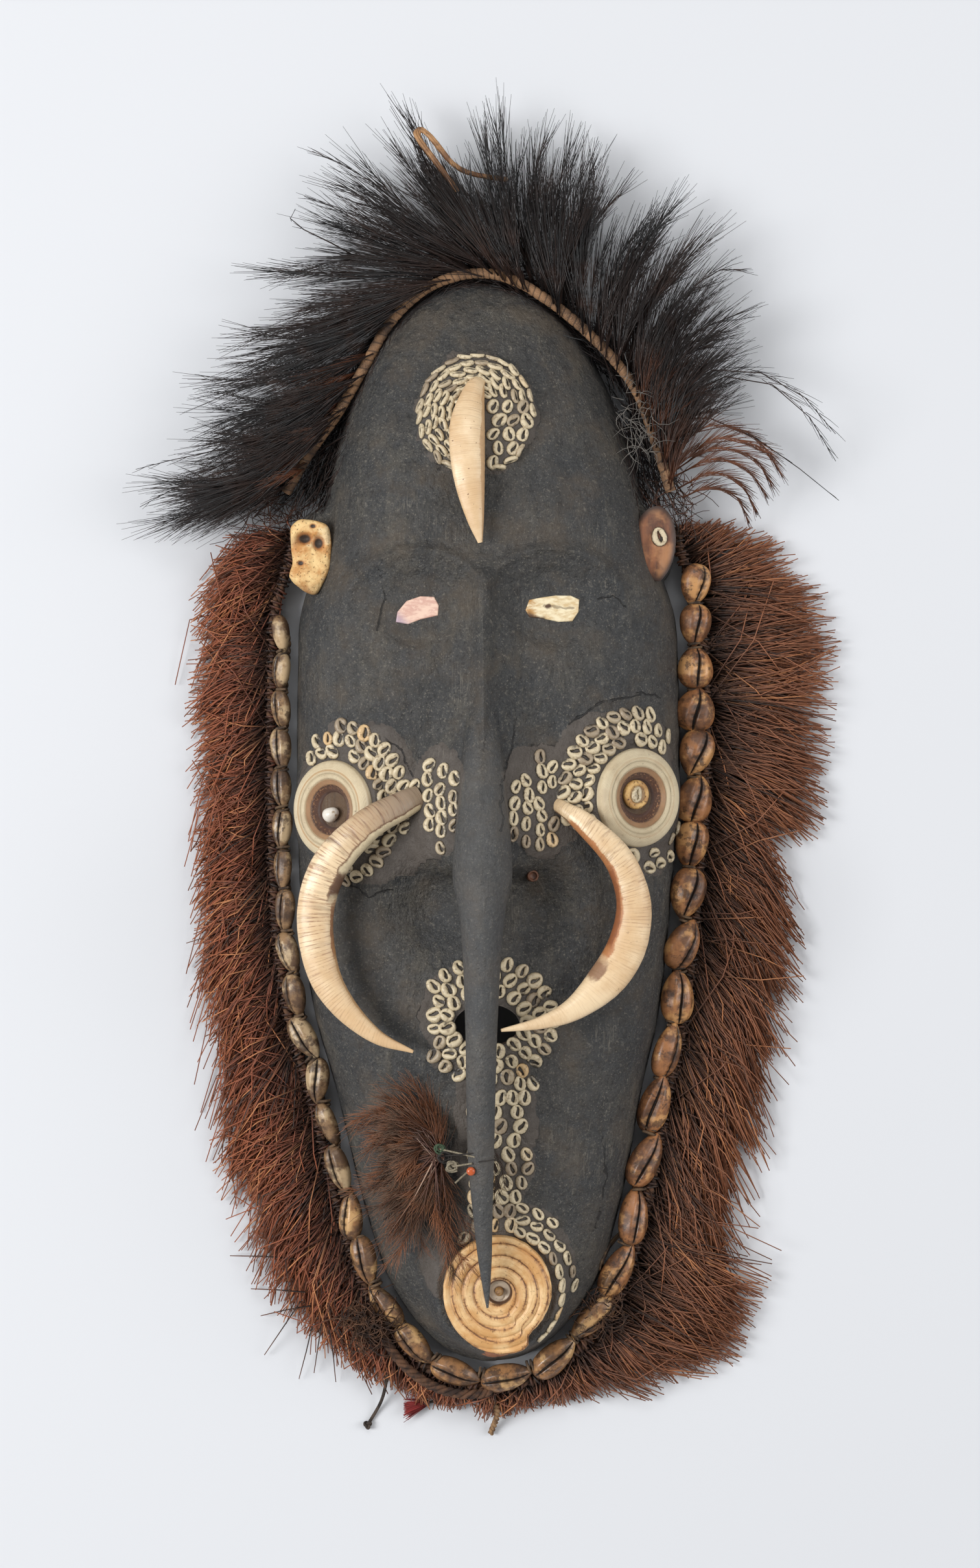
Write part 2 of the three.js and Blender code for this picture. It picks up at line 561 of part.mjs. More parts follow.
Object.entries(fringeEnds).forEach(([name, ends]) => {
  const [from, to] = FRINGE_RUNS[name];
  const isShort = name === 'fringe_bottom';
  addPiece(name, toSolid(softMass(stretchOf(fringeRim, from, to), curveOf(ends), fringeUnderside,
    isShort ? shortFringeTop : fringeTop, isShort ? 9 : 18, 3)), '#5e3424', 0.9);
});

// The bark-wrapped hoop round the top of the head, and the feathers tied along it
const HOOP_POINTS = [[-133, 175, 34], [-117, 201, 38], [-99, 226, 40], [-82, 255.5, 40], [-65, 285, 40],
  [-44, 306, 40], [-22, 316, 40], [0, 318, 40], [20, 312, 40], [41, 299, 40], [62, 282, 40],
  [83.5, 260, 40], [98.5, 238, 40], [109, 209, 38], [119.5, 176, 34]];
const hoopCurve = curveOf(HOOP_POINTS);

function rod(curve, thickness, sides, steps) {
  const section = new THREE.Shape().absarc(0, 0, thickness / 2, 0, 2 * Math.PI);
  return new THREE.ExtrudeGeometry(section, {
    steps, extrudePath: curve, curveSegments: sides / 2, bevelEnabled: false,
  });
}

addPiece('crown_hoop', toSolid(rod(hoopCurve, HOOP_THICKNESS, 6, 26)), '#6b4a33', 0.8);

// Feathers: full at the hoop, thin at the tips, in the ragged outline of the plume
const FEATHER_TIPS = [[-150, 152, 0], [-183, 158, 0], [-236, 188, 0], [-194, 222, 0], [-172, 270, 0],
  [-160, 308, 0], [-116, 362, 0], [-60, 402, 0], [-10, 434, 0], [44, 438, 0], [80, 402, 0], [122, 372, 0],
  [152, 360, 0], [180, 324, 0], [189, 278, 0], [218, 232, 0], [235, 202, 0], [196, 176, 0],
  [150, 157, 0]];
const FEATHER_ROOTS = HOOP_POINTS.map(([x, y]) => {
  const away = HOOP_THICKNESS / 2 + 1.5;
  const centre = new THREE.Vector2(-6, 190);
  const out = new THREE.Vector2(x, y).sub(centre).normalize().multiplyScalar(away);
  return [x + out.x, y + out.y, 0];
});
const featherTop = through([[0, 54], [30, 56], [70, 40], [130, 18]]);
const featherUnderside = through([[0, 24], [40, 14], [130, 6]]);
addPiece('crown_feathers', toSolid(softMass(curveOf(FEATHER_ROOTS), curveOf(FEATHER_TIPS),
  featherUnderside, featherTop, 27, 2)), '#1d1714', 0.8);

// The hanging loop of split cane comes out over the feathers
const LOOP_POINTS = [[-24, 370, 55], [-37, 390, 51], [-48.5, 407, 46], [-51, 413.5, 44], [-45, 415.5, 44],
  [-33.5, 402, 49], [-21, 383, 53], [-8, 380, 55], [12, 379, 56]];
addPiece('cane_loop', toSolid(rod(curveOf(LOOP_POINTS), 3.4, 6, 16)), '#8d6a45', 0.7);

// The tassel hangs from the hole in the nose and lies against the chin
const TASSEL = { x: -46, y: -262, z: 87, halfWidth: 29, halfLength: 52, halfDepth: 12 };
const tassel = new THREE.SphereGeometry(1, 10, 7);
tassel.scale(TASSEL.halfWidth, TASSEL.halfLength, TASSEL.halfDepth);
tassel.translate(TASSEL.x, TASSEL.y, TASSEL.z);
addPiece('nose_tassel', toSolid(tassel), '#4d2c1f', 0.9);

// Two loose ends lie over the short fringe and on the surface under the chin
const DARK_STRING_ROUTE = [[-66, -402, 15], [-66.4, -405, 14.6], [-66.9, -408, 14.1], [-67.5, -411, 13.4],
  [-68.1, -414, 12.4], [-68.7, -417, 11.1], [-69.3, -419.8, 9.6], [-70, -422.4, 8], [-70.8, -425, 6.4],
  [-71.8, -427.6, 4.9], [-73, -430.2, 3.6], [-74.4, -432.8, 2.5], [-76, -435.6, 1.8],
  [-77.8, -438.6, 1.4], [-79.6, -441.6, 1.3]];
const TWISTED_CORD_ROUTE = [[-8, -419, 15.4], [-5.4, -420.3, 15.5], [-2.8, -421.7, 15.5],
  [-0.3, -423.2, 15.4], [2, -424.9, 15.1], [3.9, -427, 14.6], [5.2, -429.4, 13.9], [5.8, -431.9, 12.9],
  [5.8, -434.3, 11.6], [5.4, -436.7, 10.1], [4.8, -439, 8.2], [4.1, -441.2, 6.1], [3.3, -443.5, 4.3],
  [2.4, -446, 3], [1.4, -448.6, 2.5]];
addPiece('string_tail_dark', toSolid(rod(curveOf(DARK_STRING_ROUTE), STRING_THICKNESS, 8, 13)),
  '#2b211b', 0.9);
addPiece('string_tail_twisted', toSolid(rod(curveOf(TWISTED_CORD_ROUTE), TWISTED_CORD_THICKNESS, 8, 13)),
  '#7b5a3c', 0.9);

export default mask;
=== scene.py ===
import random
from math import cos, exp, hypot, pi, radians, sin

import bmesh
import bpy
from mathutils import Matrix, Vector, noise
from mathutils.bvhtree import BVHTree


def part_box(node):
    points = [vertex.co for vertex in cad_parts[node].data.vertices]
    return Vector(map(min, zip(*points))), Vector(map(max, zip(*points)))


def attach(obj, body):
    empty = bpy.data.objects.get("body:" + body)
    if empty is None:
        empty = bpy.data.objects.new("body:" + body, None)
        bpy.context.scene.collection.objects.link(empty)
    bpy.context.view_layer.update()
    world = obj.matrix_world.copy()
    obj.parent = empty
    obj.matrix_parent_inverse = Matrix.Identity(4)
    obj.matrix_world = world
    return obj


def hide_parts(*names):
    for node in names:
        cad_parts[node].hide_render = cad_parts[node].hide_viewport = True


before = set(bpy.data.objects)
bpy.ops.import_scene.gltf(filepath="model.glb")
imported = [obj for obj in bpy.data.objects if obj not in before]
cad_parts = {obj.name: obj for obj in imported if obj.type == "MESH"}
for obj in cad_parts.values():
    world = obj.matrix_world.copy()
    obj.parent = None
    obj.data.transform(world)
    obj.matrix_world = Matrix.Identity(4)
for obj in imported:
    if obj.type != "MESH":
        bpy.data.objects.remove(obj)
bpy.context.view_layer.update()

# The camera looks straight down on the mask where it lies.
# Its height and its lens give the photograph's scale at the height of the face.
CAMERA_PLACE = (0.001, -0.016, 2.150)
CAMERA_LENS = 74.03


def placed(name, data):
    """A new object of this data in the scene."""
    obj = bpy.data.objects.new(name, data)
    bpy.context.scene.collection.objects.link(obj)
    return obj


camera_data = bpy.data.cameras.new("camera")
camera_data.sensor_fit = "VERTICAL"
camera_data.sensor_height = 36
camera_data.sensor_width = 36
camera_data.lens = CAMERA_LENS
camera = placed("camera", camera_data)
camera.location = CAMERA_PLACE
bpy.context.scene.camera = camera


# The two loose ends that hang from the heading of the fringe under the chin.
# One is a thin dark string ending in a knot, the other a short two-ply cord ending bare.
# Both come out of the fringe, lie over its cut ends and down on the surface.
STRING_THICKNESS = 0.0022
DARK_STRING_ROUTE = [(-0.066, -0.402, 0.015), (-0.0664, -0.405, 0.0146), (-0.0669, -0.408, 0.0141),
                     (-0.0675, -0.411, 0.0134), (-0.0681, -0.414, 0.0124), (-0.0687, -0.417, 0.0111),
                     (-0.0693, -0.4198, 0.0096), (-0.070, -0.4224, 0.008), (-0.0708, -0.425, 0.0064),
                     (-0.0718, -0.4276, 0.0049), (-0.073, -0.4302, 0.0036), (-0.0744, -0.4328, 0.0025),
                     (-0.076, -0.4356, 0.0018), (-0.0778, -0.4386, 0.0014), (-0.0796, -0.4416, 0.0013)]
TWISTED_CORD_ROUTE = [(-0.008, -0.419, 0.0154), (-0.0054, -0.4203, 0.0155), (-0.0028, -0.4217, 0.0155),
                      (-0.0003, -0.4232, 0.0154), (0.002, -0.4249, 0.0151), (0.0039, -0.427, 0.0146),
                      (0.0052, -0.4294, 0.0139), (0.0058, -0.4319, 0.0129), (0.0058, -0.4343, 0.0116),
                      (0.0054, -0.4367, 0.0101), (0.0048, -0.439, 0.0082), (0.0041, -0.4412, 0.0061),
                      (0.0033, -0.4435, 0.0043), (0.0024, -0.446, 0.003), (0.0014, -0.4486, 0.0025)]


def tint(red, green, blue):
    """A colour as it is seen on a screen, from 0 to 255, as the shader's linear values."""
    channels = [c / 255 for c in (red, green, blue)]
    return [c / 12.92 if c <= 0.04045 else ((c + 0.055) / 1.055) ** 2.4 for c in channels] + [1.0]


class Brew:
    """Short names for the shader nodes of one tree. A value is a number, a colour or a socket."""

    def __init__(self, tree):
        self.tree = tree
        self.place = None

    def feed(self, new, sources):
        for key, value in sources.items():
            if isinstance(value, bpy.types.NodeSocket):
                self.tree.links.new(value, new.inputs[key])
            else:
                new.inputs[key].default_value = value
        return new

    def node(self, kind, sources=None, **settings):
        new = self.tree.nodes.new(kind)
        for key, value in settings.items():
            setattr(new, key, value)
        return self.feed(new, sources or {})

    def apply(self, effect, **sources):
        """A shared effect, placed with its own values. It gives that effect's result."""
        return self.feed(self.node("ShaderNodeGroup", node_tree=effect.tree), sources).outputs[0]

    def stretched(self, where, scale, turn=0.0):
        return self.node("ShaderNodeMapping",
                         {"Vector": where, "Scale": scale, "Rotation": (0, 0, turn)}).outputs[0]

    def noise(self, scale, detail=4, roughness=0.6, where=None):
        return self.node("ShaderNodeTexNoise", {"Vector": self.place if where is None else where,
                                                "Scale": scale, "Detail": detail,
                                                "Roughness": roughness}).outputs["Fac"]

    def between(self, value, low, high, start=0.0, end=1.0):
        """The value's way from low to high, spread softly from start to end."""
        return self.node("ShaderNodeMapRange", {"Value": value, "From Min": low, "From Max": high,
                                                "To Min": start, "To Max": end},
                         interpolation_type="SMOOTHSTEP").outputs[0]

    def axes(self, place):
        return self.node("ShaderNodeSeparateXYZ", {0: place}).outputs

    def vector(self, x, y=0):
        return self.node("ShaderNodeCombineXYZ", {0: x, 1: y}).outputs[0]

    def vectors(self, operation, first, second=(0, 0, 0)):
        """Vector arithmetic. A length, a distance or a dot product comes out as a number."""
        sources = {0: first, "Scale" if operation == "SCALE" else 1: second}
        result = "Value" if operation in ("DOT_PRODUCT", "DISTANCE", "LENGTH") else 0
        return self.node("ShaderNodeVectorMath", sources, operation=operation).outputs[result]

    def sum(self, first, second, operation="ADD"):
        return self.node("ShaderNodeMath", {0: first, 1: second}, operation=operation).outputs[0]

    def times(self, first, second):
        return self.sum(first, second, "MULTIPLY")

    def most(self, first, second):
        return self.sum(first, second, "MAXIMUM")

    def rest(self, value):
        return self.sum(1, value, "SUBTRACT")

    def fraction(self, value):
        return self.sum(value, 0, "FRACT")

    def centred(self, value, share=1.0):
        """A value from 0 to 1 as a swing about nought, or a share of that swing."""
        swing = self.sum(value, 0.5, "SUBTRACT")
        return swing if share == 1 else self.times(swing, share)

    def off(self, value):
        """How far a value from 0 to 1 is from its middle."""
        return self.sum(self.centred(value), 0, "ABSOLUTE")

    def mix(self, share, under, over):
        """One colour over another, each a socket or its red, green and blue from 0 to 255."""
        under, over = [tint(*tone) if isinstance(tone, tuple) else tone for tone in (under, over)]
        return self.feed(self.node("ShaderNodeMix", data_type="RGBA"),
                         {0: share, 6: under, 7: over}).outputs[2]

    def grain(self, height, distance, strength=1.0, over=None):
        """A surface normal roughened by a height from 0 to 1, which stands for a distance."""
        sources = {"Height": height, "Strength": strength, "Distance": distance}
        if over:
            sources["Normal"] = over
        return self.node("ShaderNodeBump", sources).outputs[0]


class Finish(Brew):
    """A material with one Principled shader, in object coordinates, whose colour grows in layers."""

    def __init__(self, name, roughness=0.8):
        self.material = bpy.data.materials.new(name)
        self.material.use_nodes = True
        super().__init__(self.material.node_tree)
        self.shader = self.tree.nodes["Principled BSDF"]
        self.shader.inputs["Roughness"].default_value = roughness
        self.place = self.node("ShaderNodeTexCoord").outputs["Object"]
        self.surface = self.node("ShaderNodeUVMap", uv_map="surface").outputs["UV"]

    def marks(self, name):
        """A number that the mesh carries at each of its points."""
        return self.node("ShaderNodeAttribute", attribute_name=name).outputs["Fac"]

    def paint(self, share, under, over):
        """The first layer: two colours mixed by a share."""
        self.colour = self.mix(share, under, over)

    def stain(self, mask, colour, share=1.0):
        """A colour laid over the layers so far where the mask is."""
        self.colour = self.mix(mask if share == 1 else self.times(mask, share), self.colour, colour)

    def dust(self, colour, amount, size):
        self.colour = self.apply(old_dust, Where=self.place, Under=self.colour, Dust=tint(*colour),
                                 Amount=amount, Size=size)

    def coat(self, roughness=None, normal=None):
        for key, value in (("Base Color", self.colour), ("Roughness", roughness), ("Normal", normal)):
            if value is not None:
                self.feed(self.shader, {key: value})
        return self.material


def show(obj, slot, *nodes):
    """Puts a finished piece on the mask: it rides with it and stands for the named CAD nodes."""
    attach(obj, "root")
    if nodes:
        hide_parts(*nodes)
    return obj


def strand(name, routes, thickness, material, radii=None, sides=8):
    """Round strands along the given routes, as one curve object; radii taper each of them."""
    data = bpy.data.curves.new(name, "CURVE")
    data.dimensions = "3D"
    data.bevel_depth = thickness / 2
    data.bevel_resolution = max(0, sides // 2 - 2)
    data.use_fill_caps = True
    data.resolution_u = 3
    for route in routes:
        spline = data.splines.new("NURBS")
        spline.points.add(len(route) - 1)
        for i, (point, place) in enumerate(zip(spline.points, route)):
            point.co = (*place, 1)
            point.radius = radii(i / (len(route) - 1)) if radii else 1
        spline.order_u = 3
        spline.use_endpoint_u = True
    data.materials.append(material)
    return placed(name, data)


def as_mesh(obj):
    """The same object with its curve or its modifiers made into a plain mesh."""
    bpy.context.view_layer.update()
    evaluated = obj.evaluated_get(bpy.context.evaluated_depsgraph_get())
    mesh = bpy.data.meshes.new_from_object(evaluated)
    name = obj.name
    bpy.data.objects.remove(obj)
    mesh.name = name
    return placed(name, mesh)


UP = Vector((0, 0, 1))


def twisted(route, turns, away, per_turn=8, plies=2):
    """The routes of the plies of a cord, winding round its own route at a distance from it."""
    curve = [Vector(point) for point in route]
    steps = int(turns * per_turn)
    lines = [[] for _ in range(plies)]
    for step in range(steps + 1):
        share = step / steps * (len(curve) - 1)
        i = min(int(share), len(curve) - 2)
        centre = curve[i].lerp(curve[i + 1], share - i)
        along = (curve[i + 1] - curve[i]).normalized()
        side = along.cross(UP).normalized()
        up = side.cross(along)
        for ply in range(plies):
            angle = 2 * pi * (turns * step / steps + ply / plies)
            lines[ply].append(centre + away * (cos(angle) * side + sin(angle) * up))
    return lines


def twine_finish(name, light, dark):
    """Hand-rolled plant fibre, dirty and a little hairy."""
    twine = Finish(name, 0.9)
    lint = twine.noise(900, 5)
    dirt = twine.noise(160, 3)
    twine.paint(twine.between(dirt, 0.35, 0.65), light, dark)
    twine.stain(twine.between(lint, 0.55, 0.75, 0, 0.5), light)
    return twine.coat(normal=twine.grain(lint, 0.0004, 0.6))


dark_twine = twine_finish("dark_twine", (74, 62, 54), (40, 33, 29))
brown_twine = twine_finish("brown_twine", (150, 118, 84), (92, 66, 46))

dark_string = strand("string_tail_dark_twine", [DARK_STRING_ROUTE], STRING_THICKNESS, dark_twine)
show(dark_string, "dark_string", "string_tail_dark")

KNOT_RADIUS = 0.0019
knot_centre = Vector(DARK_STRING_ROUTE[-1]) + Vector((-0.0008, -0.0012, 0.0012))
knot_route = []
for knot_step in range(25):
    turn = 2 * pi * knot_step / 24
    knot_route.append(knot_centre + KNOT_RADIUS * Vector((
        (sin(turn) + 2 * sin(2 * turn)) / 2.4,
        (cos(turn) - 2 * cos(2 * turn)) / 2.4, -sin(3 * turn) / 1.6)))
string_knot = strand("string_knot", [knot_route], 0.0018, dark_twine)
show(string_knot, "dark_string")

TWIST_TURNS = 6
TWIST_AWAY = 0.00095
twisted_cord = as_mesh(strand("string_tail_two_ply", twisted(TWISTED_CORD_ROUTE, TWIST_TURNS, TWIST_AWAY),
                              0.0025, brown_twine))
show(twisted_cord, "twisted_cord", "string_tail_twisted")


# The wooden face under its skin of dark clay, with the free beak of a nose.
# It is carved from one block, hollow behind, with two ear flaps, and the breath hole goes
# right through. It is worked out in millimetres, as a carver would, and set down in metres.
MM = 0.001
CROWN_Y = 317
CHIN_Y = -398
MIDDLE_Y = (CROWN_Y + CHIN_Y) / 2
HALF_LENGTH = (CROWN_Y - CHIN_Y) / 2
WALL = 13
OUTLINE_POWER = 2.5
CREST_POWER = 3
SECTION_POWER = 2.6
EAR = {"y": 139, "half_height": 38, "left": 129, "right": 123, "top": 43}
BOSS = {"x": -8, "y": 222, "radius": 39, "rise": 6}
SOCKETS = [(-46, 99), (41, 100)]
SOCKET = {"half_width": 42, "half_height": 30, "depth": 8, "brow": 2.5}
SCOOPS = [(-38, -97), (33, -97)]
SCOOP = {"half_width": 42, "half_height": 44, "depth": 15}
MOUTH = {"x": -1, "y": -171, "half_width": 21, "half_height": 14, "lip": 3}

# A seat: centre, height, slopes, and the radii of its flat and of its run-out
LEFT_CHEEK = (-99.7, -32.7, 62, 0.75, 0, 33, 9)
RIGHT_CHEEK = (95.9, -24.8, 64, -0.65, 0, 32, 9)
CHIN = (6, -344.2, 66, 0, 0.08, 38, 12)
LEFT_EYE = (-45.6, 95.5, 81, 0.15, 0, 18, 9)
RIGHT_EYE = (41, 96.5, 81, -0.15, 0, 20, 9)
SEATS = [LEFT_CHEEK, RIGHT_CHEEK, CHIN, LEFT_EYE, RIGHT_EYE]


def through(*pairs):
    """A smooth function of one variable that passes through the given (place, value) pairs."""
    last = len(pairs) - 1
    slopes = []
    for i in range(len(pairs)):
        before, after = pairs[max(i - 1, 0)], pairs[min(i + 1, last)]
        slopes.append((after[1] - before[1]) / (after[0] - before[0]))

    def value(place):
        inside = min(max(place, pairs[0][0]), pairs[last][0])
        i = 0
        while i < last - 1 and inside > pairs[i + 1][0]:
            i += 1
        span = pairs[i + 1][0] - pairs[i][0]
        t = (inside - pairs[i][0]) / span
        rise = t * t * (3 - 2 * t)
        bend = t * (1 - t) * span * (slopes[i] * (1 - t) - slopes[i + 1] * t)
        return pairs[i][1] + rise * (pairs[i + 1][1] - pairs[i][1]) + bend

    return value


def course(stations):
    """The columns of a table of stations, each as a smooth function of the share of the way along."""
    last = len(stations) - 1
    columns = [through(*((i / last, value) for i, value in enumerate(column))) for column in zip(*stations)]
    return lambda share: [column(share) for column in columns]


def bell(distance):
    return 0 if distance >= 1 else 0.5 * (1 + cos(pi * distance))


def ripple(x, y, z):
    return noise.noise(Vector((x, y, z)))


def clamp(value):
    return min(max(value, 0), 1)


def ramp(start, end, place):
    t = clamp((place - start) / (end - start))
    return t * t * (3 - 2 * t)


def arch(across, power):
    side = abs(across)
    return 0 if side >= 1 else (1 - side ** power) ** (1 / power)


breadth = through((-398, 96), (-353, 106), (-300, 106), (-223, 109), (-171, 117.5), (-120, 122), (-16, 127),
                  (60, 128.5), (95, 129), (135, 121), (200, 119.5), (317, 118))
centre_line = through((-398, 2), (-350, 3), (-275, 2), (-120, -2), (0, 0), (138, -1.5), (245, -5.5),
                      (317, -7))
crest_height = through((-398, 86), (-344, 84), (-260, 80), (-171, 82), (-60, 84), (30, 87), (97, 90),
                       (150, 93), (222, 90), (317, 84))
nose_x = through((-351, -0.6), (-318, -2.3), (-257, -4.7), (-175, -4.5), (-73, -3.8), (124, -3))
ridge_height = through((-70, 33), (-33, 31), (9, 24), (72, 14), (108, 6), (124, 0))
ridge_half_width = through((-70, 45), (-33, 51), (9, 37), (72, 26), (124, 11))


def lengthwise(y):
    return (y - MIDDLE_Y) / HALF_LENGTH


def face_half_width(y):
    return breadth(y) * arch(lengthwise(y), OUTLINE_POWER)


def ear_reach(y, reach):
    return reach * arch((y - EAR["y"]) / EAR["half_height"], 3)


def left_edge(y):
    return min(centre_line(y) - face_half_width(y), -ear_reach(y, EAR["left"]))


def right_edge(y):
    return max(centre_line(y) + face_half_width(y), ear_reach(y, EAR["right"]))


def seat_height(seat, x, y):
    return seat[2] + seat[3] * (x - seat[0]) + seat[4] * (y - seat[1])


def seat_distance(seat, x, y):
    return hypot((x - seat[0]) * hypot(1, seat[3]), y - seat[1])


def face_height(x, y):
    half = face_half_width(y)
    across = (x - centre_line(y)) / half if half > 0 else 1
    height = crest_height(y) * arch(lengthwise(y), CREST_POWER) * arch(across, SECTION_POWER)
    aside = abs(x - nose_x(y)) / ridge_half_width(y)
    if aside < 1 and y < 124:
        height += ridge_height(y) * (1 - aside) ** 1.25 * ramp(-80, -66, y)
    for centre_x, centre_y in SOCKETS:
        away = hypot((x - centre_x) / SOCKET["half_width"], (y - centre_y) / SOCKET["half_height"])
        above = ramp(centre_y, centre_y + SOCKET["half_height"] / 2, y)
        height += SOCKET["brow"] * above * bell(abs(away - 1.1) / 0.35) - SOCKET["depth"] * bell(away)
    for centre_x, centre_y in SCOOPS:
        away = hypot((x - centre_x) / SCOOP["half_width"], (y - centre_y) / SCOOP["half_height"])
        height -= SCOOP["depth"] * bell(away)
    away = hypot((x - MOUTH["x"]) / MOUTH["half_width"], (y - MOUTH["y"]) / MOUTH["half_height"])
    height += MOUTH["lip"] * bell(abs(away - 1.3) / 0.7)
    height += BOSS["rise"] * arch(hypot(x - BOSS["x"], y - BOSS["y"]) / BOSS["radius"], 2)
    for seat in SEATS:
        weight = 1 - ramp(seat[5], seat[5] + seat[6], seat_distance(seat, x, y))
        height += weight * (seat_height(seat, x, y) - height)
    reach = ear_reach(y, EAR["left"] if x < 0 else EAR["right"])
    ear = EAR["top"] * arch(x / reach, 6) if reach > 0 else 0
    return max(height, ear, 0)


def hollow_height(x, y):
    half = face_half_width(y) - WALL
    across = (x - centre_line(y)) / half if half > 0 else 1
    along = (y - MIDDLE_Y) / (HALF_LENGTH - WALL)
    vault = (crest_height(y) - WALL) * arch(along, CREST_POWER) * arch(across, SECTION_POWER)
    return max(min(vault, face_height(x, y) - WALL), 0)


# Where brown clay was laid on thicker to hold the small shells: centre, half sizes and turn
SHELL_BEDS = [(-8, 222, 40, 42, 0), (-84, -14, 38, 42, -0.3), (-68, -52, 34, 28, 0.4),
              (-33, -28, 20, 37, -0.1), (34, -26, 27, 38, 0.2), (80, -6, 42, 38, 0.4),
              (104, -56, 18, 20, 0.2), (-1, -168, 44, 40, 0), (4, -238, 28, 62, 0), (14, -328, 43, 44, 0),
              (-28, -322, 18, 26, 0)]
BED_RISE = 1.6


def bed_cover(x, y):
    """One on the thicker brown clay and zero off it, with a torn edge between."""
    tear = 0.16 * ripple(x * 0.07, y * 0.07, 3) + 0.07 * ripple(x * 0.3, y * 0.3, 8)
    cover = 0
    for centre_x, centre_y, half_width, half_height, turn in SHELL_BEDS:
        across = (x - centre_x) * cos(turn) + (y - centre_y) * sin(turn)
        up = (y - centre_y) * cos(turn) - (x - centre_x) * sin(turn)
        away = hypot(across / half_width, up / half_height) + tear
        cover = max(cover, 1 - ramp(0.93, 1.04, away))
    return cover


KEEL = {"half_width": 6.5, "rise": 3.2, "top": 136}
BROW_RISE = 2.6


def clay_swell(x, y):
    """The hand-smoothed unevenness of the clay, its thicker beds, the brow lines and the keel."""
    wave = 0.9 * ripple(x * 0.02, y * 0.012, 0) + 0.5 * ripple(x * 0.07, y * 0.06, 5)
    wave += 0.22 * ripple(x * 0.22, y * 0.2, 9)
    keel = arch((x - nose_x(y)) / KEEL["half_width"], 2) * ramp(KEEL["top"], KEEL["top"] - 16, y)
    brow = 0
    for centre_x, centre_y in SOCKETS:
        away = hypot((x - centre_x) / (SOCKET["half_width"] + 5), (y - centre_y + 4) / 39)
        brow = max(brow, bell(abs(away - 1) / 0.13) * ramp(centre_y - 22, centre_y + 16, y))
    return wave + BED_RISE * bed_cover(x, y) + KEEL["rise"] * keel + BROW_RISE * brow


def rolled(across, along, place):
    """A sheet of quads rolled into shape: place(u, v) gives each corner, and edges that meet are joined."""
    bm = bmesh.new()
    surface = bm.loops.layers.uv.new("surface")
    bmesh.ops.create_grid(bm, x_segments=across, y_segments=along, size=0.5)
    for face in bm.faces:
        face.smooth = True
        for loop in face.loops:
            loop[surface].uv = (loop.vert.co.x + 0.5, loop.vert.co.y + 0.5)
    for vert in bm.verts:
        vert.co = place(vert.co.x + 0.5, vert.co.y + 0.5)
    bmesh.ops.remove_doubles(bm, verts=bm.verts, dist=1e-6)
    bmesh.ops.recalc_face_normals(bm, faces=bm.faces)
    return bm


def add_to(whole, part):
    """Adds one bmesh to another, and uses it up."""
    carrier = bpy.data.meshes.new("carrier")
    part.to_mesh(carrier)
    part.free()
    whole.from_mesh(carrier)
    bpy.data.meshes.remove(carrier)


def settled(bm, name, material):
    """The bmesh as an object in its place."""
    mesh = bpy.data.meshes.new(name)
    bm.to_mesh(mesh)
    bm.free()
    mesh.materials.append(material)
    return placed(name, mesh)


def spread_to_poles(share):
    return 0.5 * (1 - 2 * share) + 0.5 * cos(pi * share)


def spread_to_sides(share):
    return 0.5 * (2 * share - 1) + 0.5 * sin((2 * share - 1) * pi / 2)


def face_point(u, v):
    y = MIDDLE_Y + HALF_LENGTH * spread_to_poles(v)
    left, right = left_edge(y), right_edge(y)
    x = left + (right - left) * (spread_to_sides(u) + 1) / 2
    rim = min(u, 1 - u, v, 1 - v)
    if rim <= 1e-6:
        return MM * Vector((x, y, 0))
    height = face_height(x, y)
    on_seat = max(1 - ramp(seat[5] - 3, seat[5] + 2, seat_distance(seat, x, y)) for seat in SEATS)
    height += clay_swell(x, y) * (1 - on_seat) * ramp(0, 12, height)
    return MM * Vector((x, y, height))


def hollow_point(u, v):
    y = MIDDLE_Y + (HALF_LENGTH - WALL) * spread_to_poles(v)
    x = centre_line(y) + max(face_half_width(y) - WALL, 0) * spread_to_sides(u)
    rim = min(u, 1 - u, v, 1 - v)
    chisel = 0.5 * abs(ripple(x * 0.09, y * 0.035, 1))
    height = 0 if rim <= 1e-6 else max(hollow_height(x, y) - chisel, 0.05)
    return MM * Vector((x, y, height))


FACE_COLUMNS, FACE_ROWS = 165, 330
HOLLOW_COLUMNS, HOLLOW_ROWS = 50, 100
wood = rolled(FACE_COLUMNS, FACE_ROWS, face_point)
add_to(wood, rolled(HOLLOW_COLUMNS, HOLLOW_ROWS, hollow_point))
bmesh.ops.triangle_fill(wood, edges=[edge for edge in wood.edges if edge.is_boundary], normal=(0, 0, -1),
                        use_beauty=True)
bmesh.ops.recalc_face_normals(wood, faces=wood.faces)
if wood.calc_volume(signed=True) < 0:
    bmesh.ops.reverse_faces(wood, faces=wood.faces)


class Effect(Brew):
    """A shader node group that several finishes share, with its inputs and one result."""

    def __init__(self, name, result, **inputs):
        super().__init__(bpy.data.node_groups.new(name, "ShaderNodeTree"))
        for key, kind in inputs.items():
            self.tree.interface.new_socket(key, in_out="INPUT", socket_type="NodeSocket" + kind)
        self.tree.interface.new_socket("Result", in_out="OUTPUT", socket_type="NodeSocket" + result)
        self.given = self.tree.nodes.new("NodeGroupInput").outputs

    def result(self, value):
        self.feed(self.tree.nodes.new("NodeGroupOutput"), {"Result": value})
        return self


